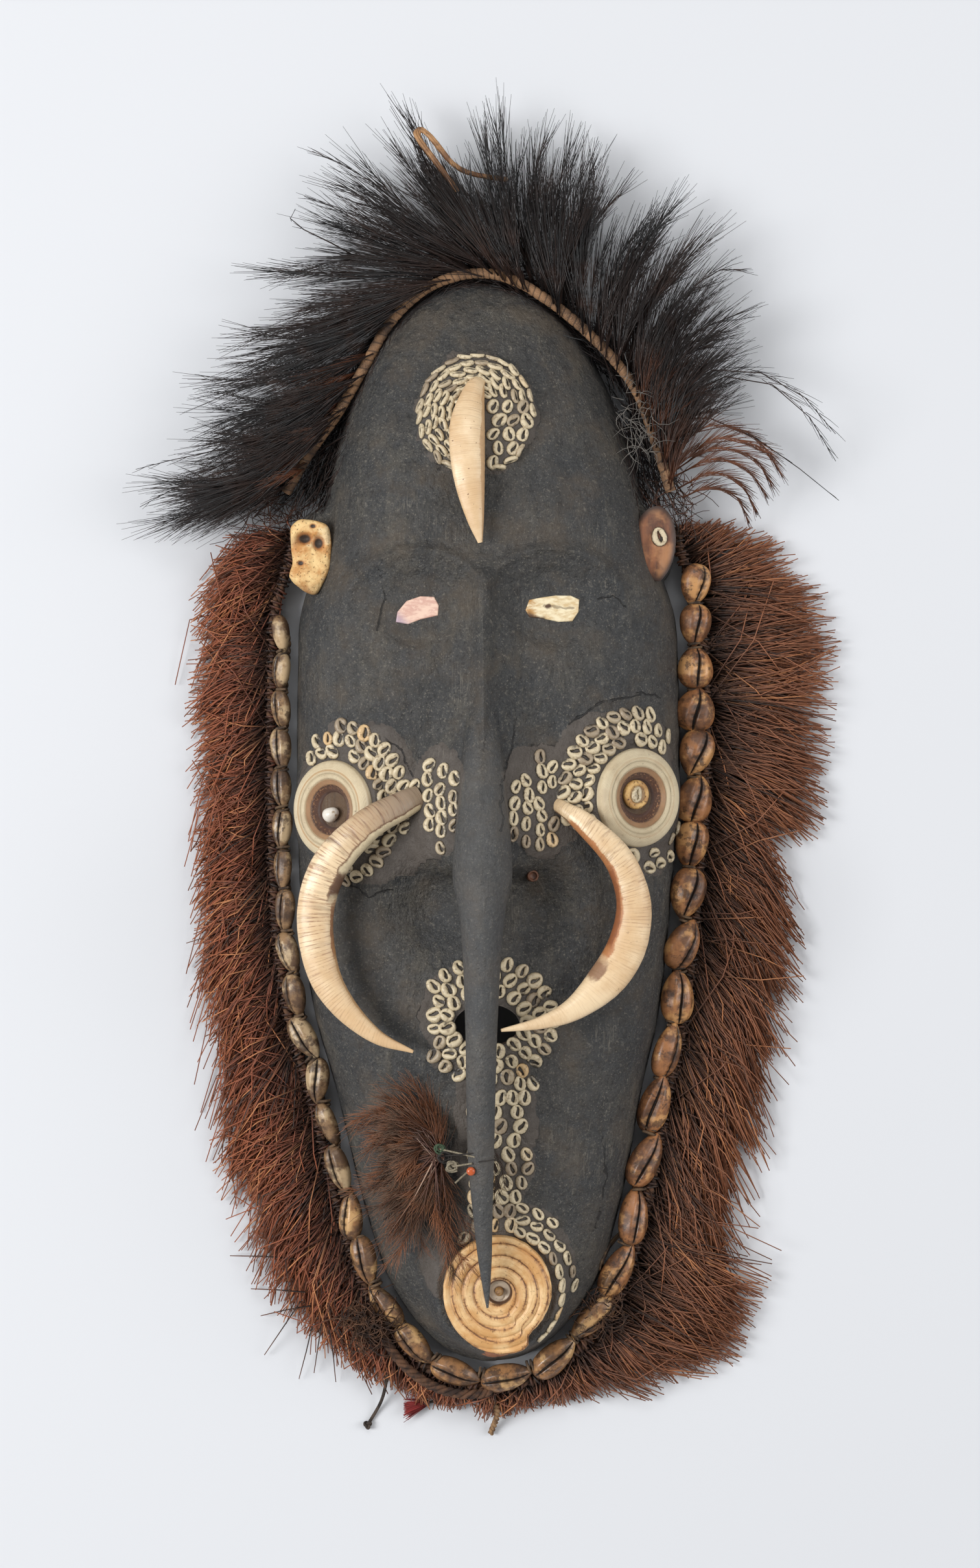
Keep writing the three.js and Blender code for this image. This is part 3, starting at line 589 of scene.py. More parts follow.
def make_old_dust():
    """Pale dust that has settled in soft blotches."""
    dust = Effect("old_dust", "Color", Where="Vector", Under="Color", Dust="Color", Amount="Float",
                  Size="Float")
    cloud = dust.noise(dust.given["Size"], 6, 0.65, where=dust.given["Where"])
    cover = dust.times(dust.between(cloud, 0.45, 0.72), dust.given["Amount"])
    return dust.result(dust.mix(cover, dust.given["Under"], dust.given["Dust"]))


def make_scratches():
    """Thin worn lines along one direction, with bare stretches between them."""
    lines = Effect("scratches", "Float", Where="Vector", Turn="Vector", Fineness="Float")
    mapping = lines.node("ShaderNodeMapping",
                         {"Vector": lines.given["Where"], "Rotation": lines.given["Turn"],
                          "Scale": (1, 0.03, 1)})
    hair = lines.noise(lines.given["Fineness"], 2, 0.5, where=mapping.outputs["Vector"])
    patch = lines.noise(22, 3, where=lines.given["Where"])
    cut = lines.between(lines.off(hair), 0.0, 0.012, 1, 0)
    return lines.result(lines.times(cut, lines.between(patch, 0.52, 0.66)))


def make_crack():
    """One run of a drying crack: full on the line from start to end and fading beside it."""
    crack = Effect("crack_run", "Float", Where="Vector", Start="Vector", End="Vector", Width="Float")
    wander = crack.node("ShaderNodeTexNoise", {"Vector": crack.given["Where"], "Scale": 120.0, "Detail": 5.0})
    flat = crack.vectors("MULTIPLY", crack.given["Where"], (1, 1, 0))
    shift = crack.vectors("SUBTRACT", wander.outputs["Color"], (0.5, 0.5, 0.5))
    here = crack.vectors("ADD", flat, crack.vectors("MULTIPLY", shift, (0.007, 0.007, 0)))
    away = crack.vectors("SUBTRACT", here, crack.given["Start"])
    run = crack.vectors("SUBTRACT", crack.given["End"], crack.given["Start"])
    reached = crack.sum(crack.vectors("DOT_PRODUCT", away, run), crack.vectors("DOT_PRODUCT", run, run),
                        "DIVIDE")
    share = crack.node("ShaderNodeClamp", {"Value": reached}).outputs[0]
    gap = crack.vectors("DISTANCE", away, crack.vectors("SCALE", run, share))
    return crack.result(crack.between(crack.sum(gap, crack.given["Width"], "DIVIDE"), 0.35, 1.0, 1, 0))


old_dust = make_old_dust()
scratches = make_scratches()
crack_run = make_crack()

# The cracks of the dried clay, each a chain of points in metres with its width
CRACKS = [(0.0010, [(-0.067, 0.015), (-0.054, 0.004), (-0.049, -0.012)]),
          (0.0012, [(0.052, 0.022), (0.072, 0.037), (0.098, 0.041)]),
          (0.0009, [(0.096, 0.043), (0.112, 0.040)]),
          (0.0011, [(0.0165, 0.026), (0.0145, 0.004), (0.008, -0.014), (0.009, -0.045)]),
          (0.0013, [(-0.071, 0.121), (-0.0665, 0.102), (-0.070, 0.083)]),
          (0.0009, [(0.070, 0.103), (0.081, 0.106), (0.088, 0.099)]),
          (0.0011, [(-0.094, -0.078), (-0.078, -0.088), (-0.062, -0.084)]),
          (0.0010, [(0.070, -0.305), (0.077, -0.272), (0.074, -0.246)])]


def clay_finish():
    """Charcoal grey clay rubbed with soot: finely grained, dusted brown, scratched, cracked and chipped."""
    clay = Finish("dark_clay", 0.8)
    where = clay.place
    blotch = clay.noise(17, 6, 0.62)
    smear = clay.noise(58, 6, 0.66, where=clay.stretched(where, (1, 0.45, 0.8), 0.5))
    grit = clay.noise(300, 5, 0.7)
    clay.paint(clay.between(blotch, 0.36, 0.64), (48, 49, 50), (60, 58, 55))
    clay.stain(clay.between(smear, 0.5, 0.7, 0, 0.5), (84, 79, 70))
    clay.stain(clay.between(smear, 0.32, 0.47, 0.6, 0), (40, 40, 41))
    clay.stain(clay.between(grit, 0.46, 0.34), (30, 29, 30), 0.75)
    clay.stain(clay.between(grit, 0.57, 0.68), (116, 110, 100), 0.5)
    pepper = clay.noise(800, 3, 0.7)
    clay.stain(clay.between(pepper, 0.46, 0.34), (26, 25, 25), 0.6)
    clay.stain(clay.between(pepper, 0.58, 0.7), (138, 132, 120), 0.5)
    clay.dust((90, 78, 64), 0.45, 30)

    bed = clay.marks("bed")
    fray = clay.centred(clay.noise(190))
    torn = clay.sum(bed, fray)
    on_bed = clay.between(torn, 0.42, 0.58)
    bed_colour = clay.mix(clay.noise(120), (96, 87, 79), (66, 60, 56))
    clay.stain(on_bed, bed_colour, 0.8)
    lip = clay.between(clay.off(torn), 0.02, 0.1, 1, 0)
    lifted = clay.times(lip, clay.between(clay.noise(30, 2), 0.54, 0.64, 0, 0.8))

    bare = clay.marks("bare")
    wood_grain = clay.noise(260, 4, 0.65, where=clay.stretched(where, (1, 0.05, 1)))
    bare_colour = clay.mix(wood_grain, (112, 86, 60), (62, 46, 34))
    clay.stain(bare, bare_colour)

    worn = clay.most(clay.apply(scratches, Where=where, Turn=(0, 0, 0.12), Fineness=210),
                     clay.apply(scratches, Where=where, Turn=(0, 0, -0.9), Fineness=170))
    clay.stain(worn, (128, 122, 110), 0.34)
    depth = lifted
    for width, chain in CRACKS:
        for begin, finish in zip(chain, chain[1:]):
            run = clay.apply(crack_run, Where=where, Start=(*begin, 0), End=(*finish, 0), Width=0.7 * width)
            depth = clay.most(depth, run)
    depth = clay.times(depth, clay.between(clay.noise(85, 3), 0.36, 0.5))
    depth = clay.times(depth, clay.rest(bare))
    clay.stain(depth, (20, 18, 17), 0.85)
    chip = clay.sum(clay.marks("chip"), clay.times(fray, 1.2))
    clay.stain(clay.between(chip, 0.42, 0.55), (168, 104, 66))
    clay.stain(clay.marks("handled"), (92, 93, 94), 0.3)

    lumps = clay.noise(120, 5, 0.62)
    rough = clay.grain(smear, 0.0045, 0.8)
    rough = clay.grain(lumps, 0.0022, 0.8, rough)
    rough = clay.grain(grit, 0.0012, 0.9, rough)
    rough = clay.grain(clay.rest(depth), 0.0012, 0.9, rough)
    gloss = clay.between(lumps, 0.35, 0.65, 0.5, 0.76)
    return clay.coat(gloss, rough)


dark_clay = clay_finish()

# The nose: y, crest height, width and depth
NOSE_STATIONS = [(62, 99, 13, 18), (9, 111, 26, 28), (-33, 121, 33, 36), (-73, 126, 38, 38),
                 (-94, 127, 30.3, 30), (-114, 127, 25.8, 26), (-134, 126, 23.3, 23), (-175, 123.5, 20, 20),
                 (-216, 118, 18.4, 18), (-257, 110.5, 16.4, 15), (-298, 101.5, 11.5, 11),
                 (-318, 96.5, 9, 8), (-338, 91.5, 4.9, 4.5), (-351, 88.5, 1.4, 1.4)]


def tube(stations, across, along, swell, cap=0.01, step=0.01):
    """A tapering limb through stations (x, y, z, width, depth); swell(u, t) makes its surface uneven."""
    line = course(stations)

    def corner(u, v):
        t = clamp((v - cap) / (1 - 2 * cap))
        x, y, z, wide, deep = line(t)
        ahead = (Vector(line(t + step)[:3]) - Vector(line(t - step)[:3])).normalized()
        side = ahead.cross(UP).normalized()
        radius = swell(u, t) / 2 if 0 < v < 1 else 0
        return MM * (Vector((x, y, z)) + radius * wide * cos(2 * pi * u) * side
                     + radius * deep * sin(2 * pi * u) * side.cross(ahead))

    return rolled(across, along, corner)


def edge_at(u, place, breadth):
    """How near a place round a tube is to its edge, from 0 to 1."""
    return bell(abs((u - place + 0.5) % 1 - 0.5) / breadth)


nose_line = [(nose_x(y), y, crest - deep / 2, wide, deep) for y, crest, wide, deep in NOSE_STATIONS]
nose = settled(tube(nose_line, 40, 150, lambda u, t: 1 + 0.1 * edge_at(u, 0.25, 0.16)),
               "nose_beam", dark_clay)
breath_hole_bm = rolled(40, 3, lambda u, v: MM * Vector((
    MOUTH["x"] + (0 < v < 1) * MOUTH["half_width"] * cos(2 * pi * u),
    MOUTH["y"] + (0 < v < 1) * MOUTH["half_height"] * sin(2 * pi * u), 35 if v < 0.5 else 100)))
breath_hole = settled(breath_hole_bm, "breath_hole", dark_clay)


CARVED_EDGE = radians(48)


def joined(obj, other, operation):
    """The object after a boolean with another, which is used up."""
    step = obj.modifiers.new(operation, "BOOLEAN")
    step.operation = operation
    step.object = other
    step.solver = "MANIFOLD"
    whole = as_mesh(obj)
    bpy.data.objects.remove(other)
    return whole


wooden_face = settled(wood, "mask_clayed_wood", dark_clay)
wooden_face = joined(wooden_face, breath_hole, "DIFFERENCE")
wooden_face = joined(wooden_face, nose, "UNION")


def give(obj, name, values):
    """Gives each point of the mesh its own number under a name."""
    obj.data.attributes.new(name, "FLOAT", "POINT").data.foreach_set("value", values)


def mark(obj, **rules):
    """Gives each point one number for each rule, worked out from its place in millimetres."""
    for name, rule in rules.items():
        give(obj, name, [rule(*(vert.co / MM)) for vert in obj.data.vertices])


def inside_hollow(x, y, z):
    return 1.0 if z < face_height(x, y) - WALL / 2 or z < 0.5 else 0.0


def brown_clay(x, y, z):
    """The hollow behind, and the clay that shows through the cheek discs."""
    in_disc = min(hypot(x - seat[0], (y - seat[1]) * 0.8) for seat in (LEFT_CHEEK, RIGHT_CHEEK))
    return max(inside_hollow(x, y, z), 0.9 * (1 - ramp(12, 16, in_disc)) * (z > 20))


mark(wooden_face, bed=lambda x, y, z: bed_cover(x, y) * (20 < z < face_height(x, y) + 6), bare=brown_clay,
     handled=lambda x, y, z: ramp(2, 8, z - face_height(x, y)) * (y < 60) * (z > 60),
     chip=lambda x, y, z: bell(hypot((x - 5) / 16, (y + 386) / 9)) * (z > 5))
wooden_face.data.set_sharp_from_angle(angle=CARVED_EDGE)
show(wooden_face, "clayed_wood", "mask")


# The two eyes, each a flat piece of shell pressed into its socket.
# The left one is pinkish, the right one ivory with an ochre corner and a dark flaw.
LEFT_EYE_OUTLINE = [(-14, -7.5), (-13, -1), (-7, 6), (2, 9), (11, 8.5), (14, 3), (13.5, -3.5), (2, -6),
                    (-6, -9)]
RIGHT_EYE_OUTLINE = [(-17.5, -1), (-15, 5.5), (-8, 7), (2, 8.5), (12, 8.5), (17.5, 6), (17, -2), (13, -8),
                     (4, -8.5), (-6, -6.5), (-15, -5.5)]
INLAY_SUNK = 2.5
INLAY_PROUD = 0.9


def standing(centre, along, up):
    """The place of a piece whose X lies along one way and whose Z stands up another."""
    return Matrix.Translation(centre) @ Matrix((along, up.cross(along), up)).transposed().to_4x4()


def on_seat(seat):
    """The place of a seat on the face, with its Z standing straight out of the clay."""
    out = Vector((-seat[3], -seat[4], 1)).normalized()
    return standing(MM * Vector(seat[:3]), Vector((1, 0, seat[3])).normalized(), out)


def raised(bm, height):
    """Draws a flat outline up into a solid."""
    drawn = bmesh.ops.extrude_face_region(bm, geom=bm.faces[:])["geom"]
    upper = [item for item in drawn if isinstance(item, bmesh.types.BMVert)]
    bmesh.ops.translate(bm, verts=upper, vec=(0, 0, MM * height))
    bmesh.ops.recalc_face_normals(bm, faces=bm.faces)


def cut_plate(name, outline, bottom, top, material, place, edge=0.8, rounds=2):
    """A flat piece sawn to an outline in millimetres, with softened edges."""
    bm = bmesh.new()
    corners = [bm.verts.new((MM * x, MM * y, MM * bottom)) for x, y in outline]
    bm.faces.new(corners)
    bmesh.ops.subdivide_edges(bm, edges=bm.edges, cuts=rounds, smooth=0.6)
    for vert in bm.verts:
        vert.co.z = MM * bottom
    raised(bm, top - bottom)
    rim = [e for e in bm.edges if all(v.co.z > MM * (top - 0.01) for v in e.verts) and len(e.link_faces) == 2
           and any(abs(f.normal.z) < 0.5 for f in e.link_faces)]
    bmesh.ops.bevel(bm, geom=rim, offset=MM * edge, segments=3, affect="EDGES", profile=0.5, material=-1)
    bmesh.ops.triangulate(bm, faces=[f for f in bm.faces if len(f.verts) > 4])
    bmesh.ops.transform(bm, matrix=place, verts=bm.verts)
    for face in bm.faces:
        face.smooth = len(face.verts) == 4
    return settled(bm, name, material)


def pink_shell_finish():
    """Pink mother of pearl, worn to a lilac sheen at one corner."""
    shell = Finish("pink_shell", 0.32)
    where = shell.place
    layers = shell.noise(130, where=shell.stretched(where, (1, 2.4, 1), 0.4))
    shell.paint(shell.between(layers, 0.38, 0.62), (222, 190, 170), (200, 158, 142))
    shell.stain(shell.between(shell.noise(300, 3), 0.56, 0.7, 0, 0.6), (232, 205, 186))
    corner = shell.axes(where)
    low = shell.between(shell.sum(corner[0], corner[1]), 0.03, 0.041, 1, 0)
    shell.stain(low, (160, 142, 160), 0.8)
    return shell.coat(normal=shell.grain(layers, 0.0003, 0.4))


def ivory_shell_finish():
    """Ivory shell with an ochre end, brown stains and one dark flaw across it."""
    shell = Finish("ivory_shell", 0.38)
    where = shell.place
    layers = shell.noise(150, 5, where=shell.stretched(where, (1, 2.2, 1), -0.2))
    shell.paint(shell.between(layers, 0.36, 0.64), (232, 218, 184), (204, 178, 134))
    across = shell.axes(where)[0]
    ochre = shell.times(shell.between(across, 0.026, 0.034, 1, 0), shell.between(layers, 0.3, 0.6))
    shell.stain(ochre, (176, 130, 72))
    flaw = shell.apply(crack_run, Where=where, Start=(0.036, 0.0985, 0), End=(0.054, 0.0965, 0), Width=0.001)
    pit = shell.apply(crack_run, Where=where, Start=(0.0385, 0.0975, 0), End=(0.039, 0.0975, 0), Width=0.0022)
    stain = shell.apply(crack_run, Where=where, Start=(0.026, 0.091, 0), End=(0.034, 0.0892, 0), Width=0.004)
    dark = shell.most(shell.times(flaw, 0.55), shell.most(pit, stain))
    shell.stain(dark, (84, 62, 46))
    return shell.coat(normal=shell.grain(layers, 0.0003, 0.4))


for eye_name, outline, seat, shell in (
        ("eye_inlay_left", LEFT_EYE_OUTLINE, LEFT_EYE, pink_shell_finish()),
        ("eye_inlay_right", RIGHT_EYE_OUTLINE, RIGHT_EYE, ivory_shell_finish())):
    inlay = cut_plate(eye_name + "_shell", outline, -INLAY_SUNK, INLAY_PROUD, shell, on_seat(seat))
    show(inlay, "pink_shell" if seat is LEFT_EYE else "ivory_shell", eye_name)


# The discs cut from the tops of cone shells: one on each cheek and the largest on the chin.
# They are ground flat, stained by handling, and show the whorls that the shell grew in.
# The left cheek disc holds a small bead, the right one a smaller disc with a nassa shell.
def polar(angle, radius=1, height=0):
    return Vector((radius * cos(angle), radius * sin(angle), height))


def turned(name, profile, around, place, material, rounds=3, phase=None):
    """A disc turned from its profile of (radius, height), a little warped where it has a phase."""
    shape = course(profile)

    def corner(u, v):
        radius, height = shape(v)
        if phase is not None and 0.3 < v:
            height += 0.25 * sin(4 * pi * u + phase)
        return place @ (MM * polar(2 * pi * u, max(radius, 0) if 0 < v < 1 else 0, height))

    return settled(rolled(around, (len(profile) - 1) * rounds, corner), name, material)


CHEEK_DISC_PROFILE = [(0, -2.8), (15, -2.8), (28.5, -2.8), (30.6, -1.8), (32, 0), (32, 2), (31.2, 4),
                      (29.4, 5.4), (27, 6), (24.2, 6.1), (23.6, 5.7), (22.8, 6), (20.6, 5.8), (20, 5.3),
                      (19.3, 5.5), (17.8, 4.9), (16.4, 4.4), (15.8, 3.4), (14.4, 2.5), (12.6, 1.7),
                      (11.8, 0.6), (10.8, -0.2), (9, -0.5), (5, -0.6), (0, -0.6)]
DISC_RADIUS = 32


def cone_shell_finish(name, turn, banding):
    """Cream shell with fine rings, an ochre band and a brown stained hollow in the middle."""
    shell = Finish(name, 0.42)
    ring = shell.axes(shell.surface)
    wobble = shell.centred(shell.noise(60, 3), 0.02)
    out = shell.sum(ring[1], wobble)
    cream = shell.mix(shell.noise(70, 5), (232, 219, 188), (206, 188, 152))
    fine = shell.node("ShaderNodeTexWave", {"Vector": shell.vector(out), "Scale": 34.0, "Distortion": 2.5,
                                            "Detail": 3.0}).outputs["Fac"]
    cream = shell.mix(shell.between(fine, 0.3, 0.0, 0, 0.5), cream, (164, 134, 98))
    zones = shell.noise(16, 3, 0.7, where=shell.vector(out))
    cream = shell.mix(shell.between(zones, 0.5, 0.64, 0, banding), cream, (178, 138, 92))
    ochre = shell.mix(shell.noise(110), (190, 152, 112), (130, 94, 68))
    brown = shell.mix(shell.noise(90, 5), (104, 68, 50), (44, 30, 26))
    floor_tone = shell.mix(shell.noise(150), (104, 76, 58), (52, 38, 32))
    shell.paint(shell.between(out, 0.54, 0.585), cream, ochre)
    shell.stain(shell.between(out, 0.645, 0.7), brown)
    shell.stain(shell.between(out, 0.86, 0.93), floor_tone)
    side = shell.node("ShaderNodeMapping", {"Vector": shell.surface, "Location": (turn, 0, 0)}).outputs[0]
    spots = shell.noise(9, 4, 0.7, where=shell.stretched(side, (7, 3, 1)))
    in_band = shell.times(shell.between(out, 0.56, 0.62), shell.between(out, 0.8, 0.72))
    shell.stain(shell.times(shell.between(spots, 0.5, 0.66), in_band), (176, 130, 92))
    pits = shell.between(shell.noise(520, 3, 0.7), 0.66, 0.74)
    shell.stain(pits, (92, 66, 46), 0.6)
    shell.dust((150, 112, 76), 0.22, 90)
    bumps = shell.grain(fine, 0.0004, 0.6)
    return shell.coat(normal=shell.grain(pits, -0.0005, 0.7, bumps))


for cheek, seat, phase, spin, banding in (("left", LEFT_CHEEK, 1, 0.1, 0.75),
                                          ("right", RIGHT_CHEEK, -1, 0.6, 0.3)):
    disc = turned(f"cheek_disc_{cheek}_shell", CHEEK_DISC_PROFILE, 96, on_seat(seat),
                  cone_shell_finish("cone_shell_" + cheek, spin, banding), phase=phase)
    show(disc, "cone_shell", "cheek_disc_" + cheek)

INNER_SHIFT = Matrix.Translation(MM * Vector((-2, 2, -0.6)))
INNER_PROFILE = [(0, 0), (8, 0), (9.2, 0.8), (9.5, 2.4), (9.2, 4), (8.2, 4.9), (6.6, 5), (5.8, 4.6), (5, 4.7),
                 (3, 4.5), (0, 4.4)]


def inner_disc_finish():
    shell = Finish("inner_cone_shell", 0.5)
    shell.paint(shell.between(shell.noise(150, 5), 0.35, 0.65), (208, 168, 104), (166, 122, 70))
    pits = shell.between(shell.noise(600, 3, 0.7), 0.6, 0.68)
    shell.stain(pits, (84, 58, 40))
    out = shell.axes(shell.surface)[1]
    shell.stain(shell.between(out, 0.66, 0.72, 0, 0.6), (110, 80, 56))
    return shell.coat(normal=shell.grain(pits, -0.0006, 0.8))


inner_disc = turned("cheek_disc_inner_shell", INNER_PROFILE, 56, on_seat(RIGHT_CHEEK) @ INNER_SHIFT,
                    inner_disc_finish())
show(inner_disc, "cone_shell", "cheek_disc_right_inner")

BEAD_RADIUS = 5.2
BEAD_PLACE = on_seat(LEFT_CHEEK) @ Matrix.Translation(MM * Vector((0.5, -3, BEAD_RADIUS - 0.7)))


def bead_finish():
    white = Finish("white_bead", 0.3)
    white.paint(white.noise(240), (236, 232, 224), (205, 196, 182))
    white.stain(white.between(white.noise(130, 3), 0.58, 0.7), (160, 138, 110))
    return white.coat(normal=white.grain(white.noise(400, 3), 0.0004, 0.5))


def bead_point(u, v):
    angle, tall = 2 * pi * u, pi * (v - 0.5)
    radius = BEAD_RADIUS * (1 + 0.10 * sin(2 * angle + 0.8) + 0.06 * sin(3 * angle) * cos(tall))
    return BEAD_PLACE @ (MM * polar(angle, radius * cos(tall), BEAD_RADIUS * sin(tall)))


bead = settled(rolled(32, 20, bead_point), "cheek_bead_white", bead_finish())
show(bead, "white_bead", "cheek_bead_left")

CHIN_RADIUS = 36.5
CHIN_BOTTOM, CHIN_TOP = -3, 9
WHORL_PITCH = 7.4
HOLE_RADIUS = 8.4
CORE_PROFILE = [(0, -1), (2.4, -1), (2.8, 1), (2.4, 3), (2.6, 4.4), (1.7, 5.6), (0, 6)]

chin_edge = through((0, 34.6), (0.12, 36.4), (0.25, 37.8), (0.38, 36.6), (0.5, 35.2), (0.6, 35.4),
                    (0.7, 37.8), (0.79, 40), (0.835, 38.8), (0.85, 33.8), (0.9, 33), (1, 34.6))


def chin_disc_point(u, v):
    """Round the disc from the back over its worn rim and whorls down into the hole at its apex."""
    angle = 2 * pi * u
    turns = u + 0.36
    worn = 0.35 * noise.noise(polar(angle, 9, 0))
    outer = chin_edge(u) + worn
    if v < 0.12:
        radius, height = (outer - 2) * v / 0.12, CHIN_BOTTOM
    elif v < 0.26:
        share = (v - 0.12) / 0.14 * pi / 2
        radius = outer - 2 + 2 * sin(share * 2) if share < pi / 4 else outer
        height = CHIN_BOTTOM + (CHIN_TOP - CHIN_BOTTOM - 1.5) * (v - 0.12) / 0.14
    else:
        share = (v - 0.26) / 0.74
        radius = outer * (1 - share) if v < 1 else 0
        whorl = (radius / WHORL_PITCH + turns) % 1
        dome = 1.5 * (1 - (radius / outer) ** 4) - 1.0 * ramp(16, 8, radius)
        height = CHIN_TOP - 1.5 + dome - 1.1 * bell(min(whorl, 1 - whorl) / 0.12) + 0.7 * sin(pi * whorl)
        hole = ramp(HOLE_RADIUS, HOLE_RADIUS - 1.6, hypot(radius * cos(angle) - 1, radius * sin(angle) - 1))
        height -= 6.0 * hole
    return on_seat(CHIN) @ (MM * polar(angle, radius, height))


def chin_disc_finish():
    """Cream and ochre whorls, with brown flecks along the seams between them and a pale-walled hole, with a
    painted shadow round its rim.
    """
    shell = Finish("chin_cone_shell", 0.42)
    where = shell.place
    ring = shell.axes(shell.surface)
    straight = shell.node("ShaderNodeMapRange", {"Value": ring[1], "From Min": 0.26, "From Max": 1.0,
                                                 "To Min": CHIN_RADIUS / WHORL_PITCH,
                                                 "To Max": 0}).outputs[0]
    uneven = shell.centred(shell.noise(42), 0.22)
    whorl = shell.fraction(shell.sum(shell.sum(straight, ring[0]), shell.sum(uneven, 0.36)))
    seam = shell.between(shell.off(whorl), 0.4, 0.49)
    near_seam = shell.between(shell.off(whorl), 0.22, 0.48)
    cloud = shell.noise(52, 5)
    shell.paint(shell.between(cloud, 0.36, 0.62), (226, 192, 142), (198, 150, 94))
    shell.stain(near_seam, (186, 130, 76), 0.5)
    aged = shell.between(shell.noise(34, 5, 0.7), 0.48, 0.62)
    shell.stain(aged, (196, 140, 80), 0.5)
    around = shell.stretched(shell.surface, (5, 46, 1))
    streaks = shell.noise(1, 4, 0.7, where=around)
    shell.stain(shell.between(streaks, 0.5, 0.72, 0, 0.55), (160, 112, 66))
    broken = shell.between(shell.noise(130, 3, 0.7), 0.4, 0.54, 0.25, 1)
    shell.stain(shell.times(seam, broken), (100, 64, 40), 0.9)
    dashes = shell.stretched(shell.surface, (30, 4, 1))
    flecks = shell.times(shell.between(shell.noise(2, 3, 0.7, where=dashes), 0.52, 0.62), near_seam)
    shell.stain(flecks, (96, 60, 38), 0.8)
    cracks = shell.apply(scratches, Where=where, Turn=(0, 0, 0.7), Fineness=240)
    shell.stain(cracks, (110, 82, 56), 0.3)
    hole = shell.vectors("SUBTRACT", where, (MM * (CHIN[0] + 1), MM * (CHIN[1] + 1), 0))
    away = shell.vectors("LENGTH", shell.vectors("MULTIPLY", hole, (1, 1, 0)))
    # Painted shadow: a dark ring round the rim of the hole, over the top of its pale wall.
    shell.stain(shell.between(away, 0.0088, 0.008), (86, 58, 40))
    shell.stain(shell.between(away, 0.0074, 0.0064), (198, 180, 158))
    shell.stain(shell.between(away, 0.004, 0.0026, 0, 0.8), (104, 78, 62))
    pits = shell.between(shell.noise(480, 3, 0.7), 0.64, 0.72)
    shell.stain(pits, (92, 66, 46), 0.5)
    return shell.coat(normal=shell.grain(pits, -0.0005, 0.7, shell.grain(streaks, 0.0004, 0.4)))


chin_disc = settled(rolled(128, 74, chin_disc_point), "chin_disc_shell", chin_disc_finish())
show(chin_disc, "cone_shell", "chin_disc")
core_place = on_seat(CHIN) @ Matrix.Translation(MM * Vector((1, 1, 1)))
columella = turned("chin_disc_core", CORE_PROFILE, 18, core_place, inner_disc.active_material, 2)
show(columella, "cone_shell")


# The small nassa shells, ground open at the back so that each is a cream ring round a slot that painted shade
# darkens.
# They are pressed into the brown clay in rows, and lean over where the clay bed is steep.
NASSA_LONG, NASSA_WIDE = 5.5, 4.9
RING_PITCH = 8.3
shell_rng = random.Random(11)


def nassa_sheet(place, long, wide, tall):
    """One shell: a plump oval ring whose lips leave only a crooked slot open."""
    bent = shell_rng.choice((-1, 1)) * shell_rng.uniform(0.10, 0.24)

    def corner(u, v):
        angle, turn = 2 * pi * u, 2 * pi * v
        across, up = cos(angle), sin(angle)
        outer = Vector((long * across, wide * up * (1 - 0.10 * across)))
        slot = Vector((0.56 * long * across, wide * (0.15 * up * (1 + 0.5 * cos(3 * angle))
                                                     + bent * sin(2.2 * across) - 0.05)))
        flat = slot.lerp(outer, 0.5 + 0.5 * cos(turn))
        return place @ (MM * Vector((flat.x, flat.y, tall * (0.28 + 0.64 * sin(turn)) * (1 + 0.14 * up))))

    ring = rolled(14, 6, corner)
    bmesh.ops.create_cone(ring, cap_ends=True, segments=6, radius1=MM * 0.4 * long, radius2=MM * 0.4 * long,
                          depth=MM * 0.6, matrix=place @ Matrix.Diagonal((1.7, 0.8, 1, 1)))
    return ring


def nassa_finish():
    """Cream shell, some yellowed or greyed, darkened almost to black in the opening and at the foot by brown
    clay left there and by painted shade where it meets the clay.
    """
    shell = Finish("nassa_shell", 0.4)
    tone = shell.marks("tone")
    shell.paint(shell.noise(300, 3), (220, 206, 174), (176, 158, 128))
    shell.stain(shell.between(tone, 0.93, 0.99), (206, 166, 112), 0.7)
    shell.stain(shell.between(tone, 0.34, 0.05), (150, 134, 112))
    blot = shell.between(shell.noise(480, 3), 0.54, 0.64)
    shell.stain(blot, (112, 90, 68), 0.55)
    # Painted shade, with the clay left there: near the clay surface, in the opening and at the foot, the
    # shell turns almost black.
    clay_and_shade_at_foot = shell.sum(shell.marks("foot"), shell.centred(shell.noise(420, 3)))
    shell.stain(shell.between(clay_and_shade_at_foot, 0.3, 0.85), (38, 31, 26), 0.95)
    return shell.coat(normal=shell.grain(shell.noise(700, 3), 0.0003, 0.5))


nassa_shell = nassa_finish()
bpy.context.view_layer.update()
clay_surface = BVHTree.FromObject(wooden_face, bpy.context.evaluated_depsgraph_get())
taken = []


def clear_of(seat, x, y, extra):
    return seat_distance(seat, x, y) > seat[5] + extra


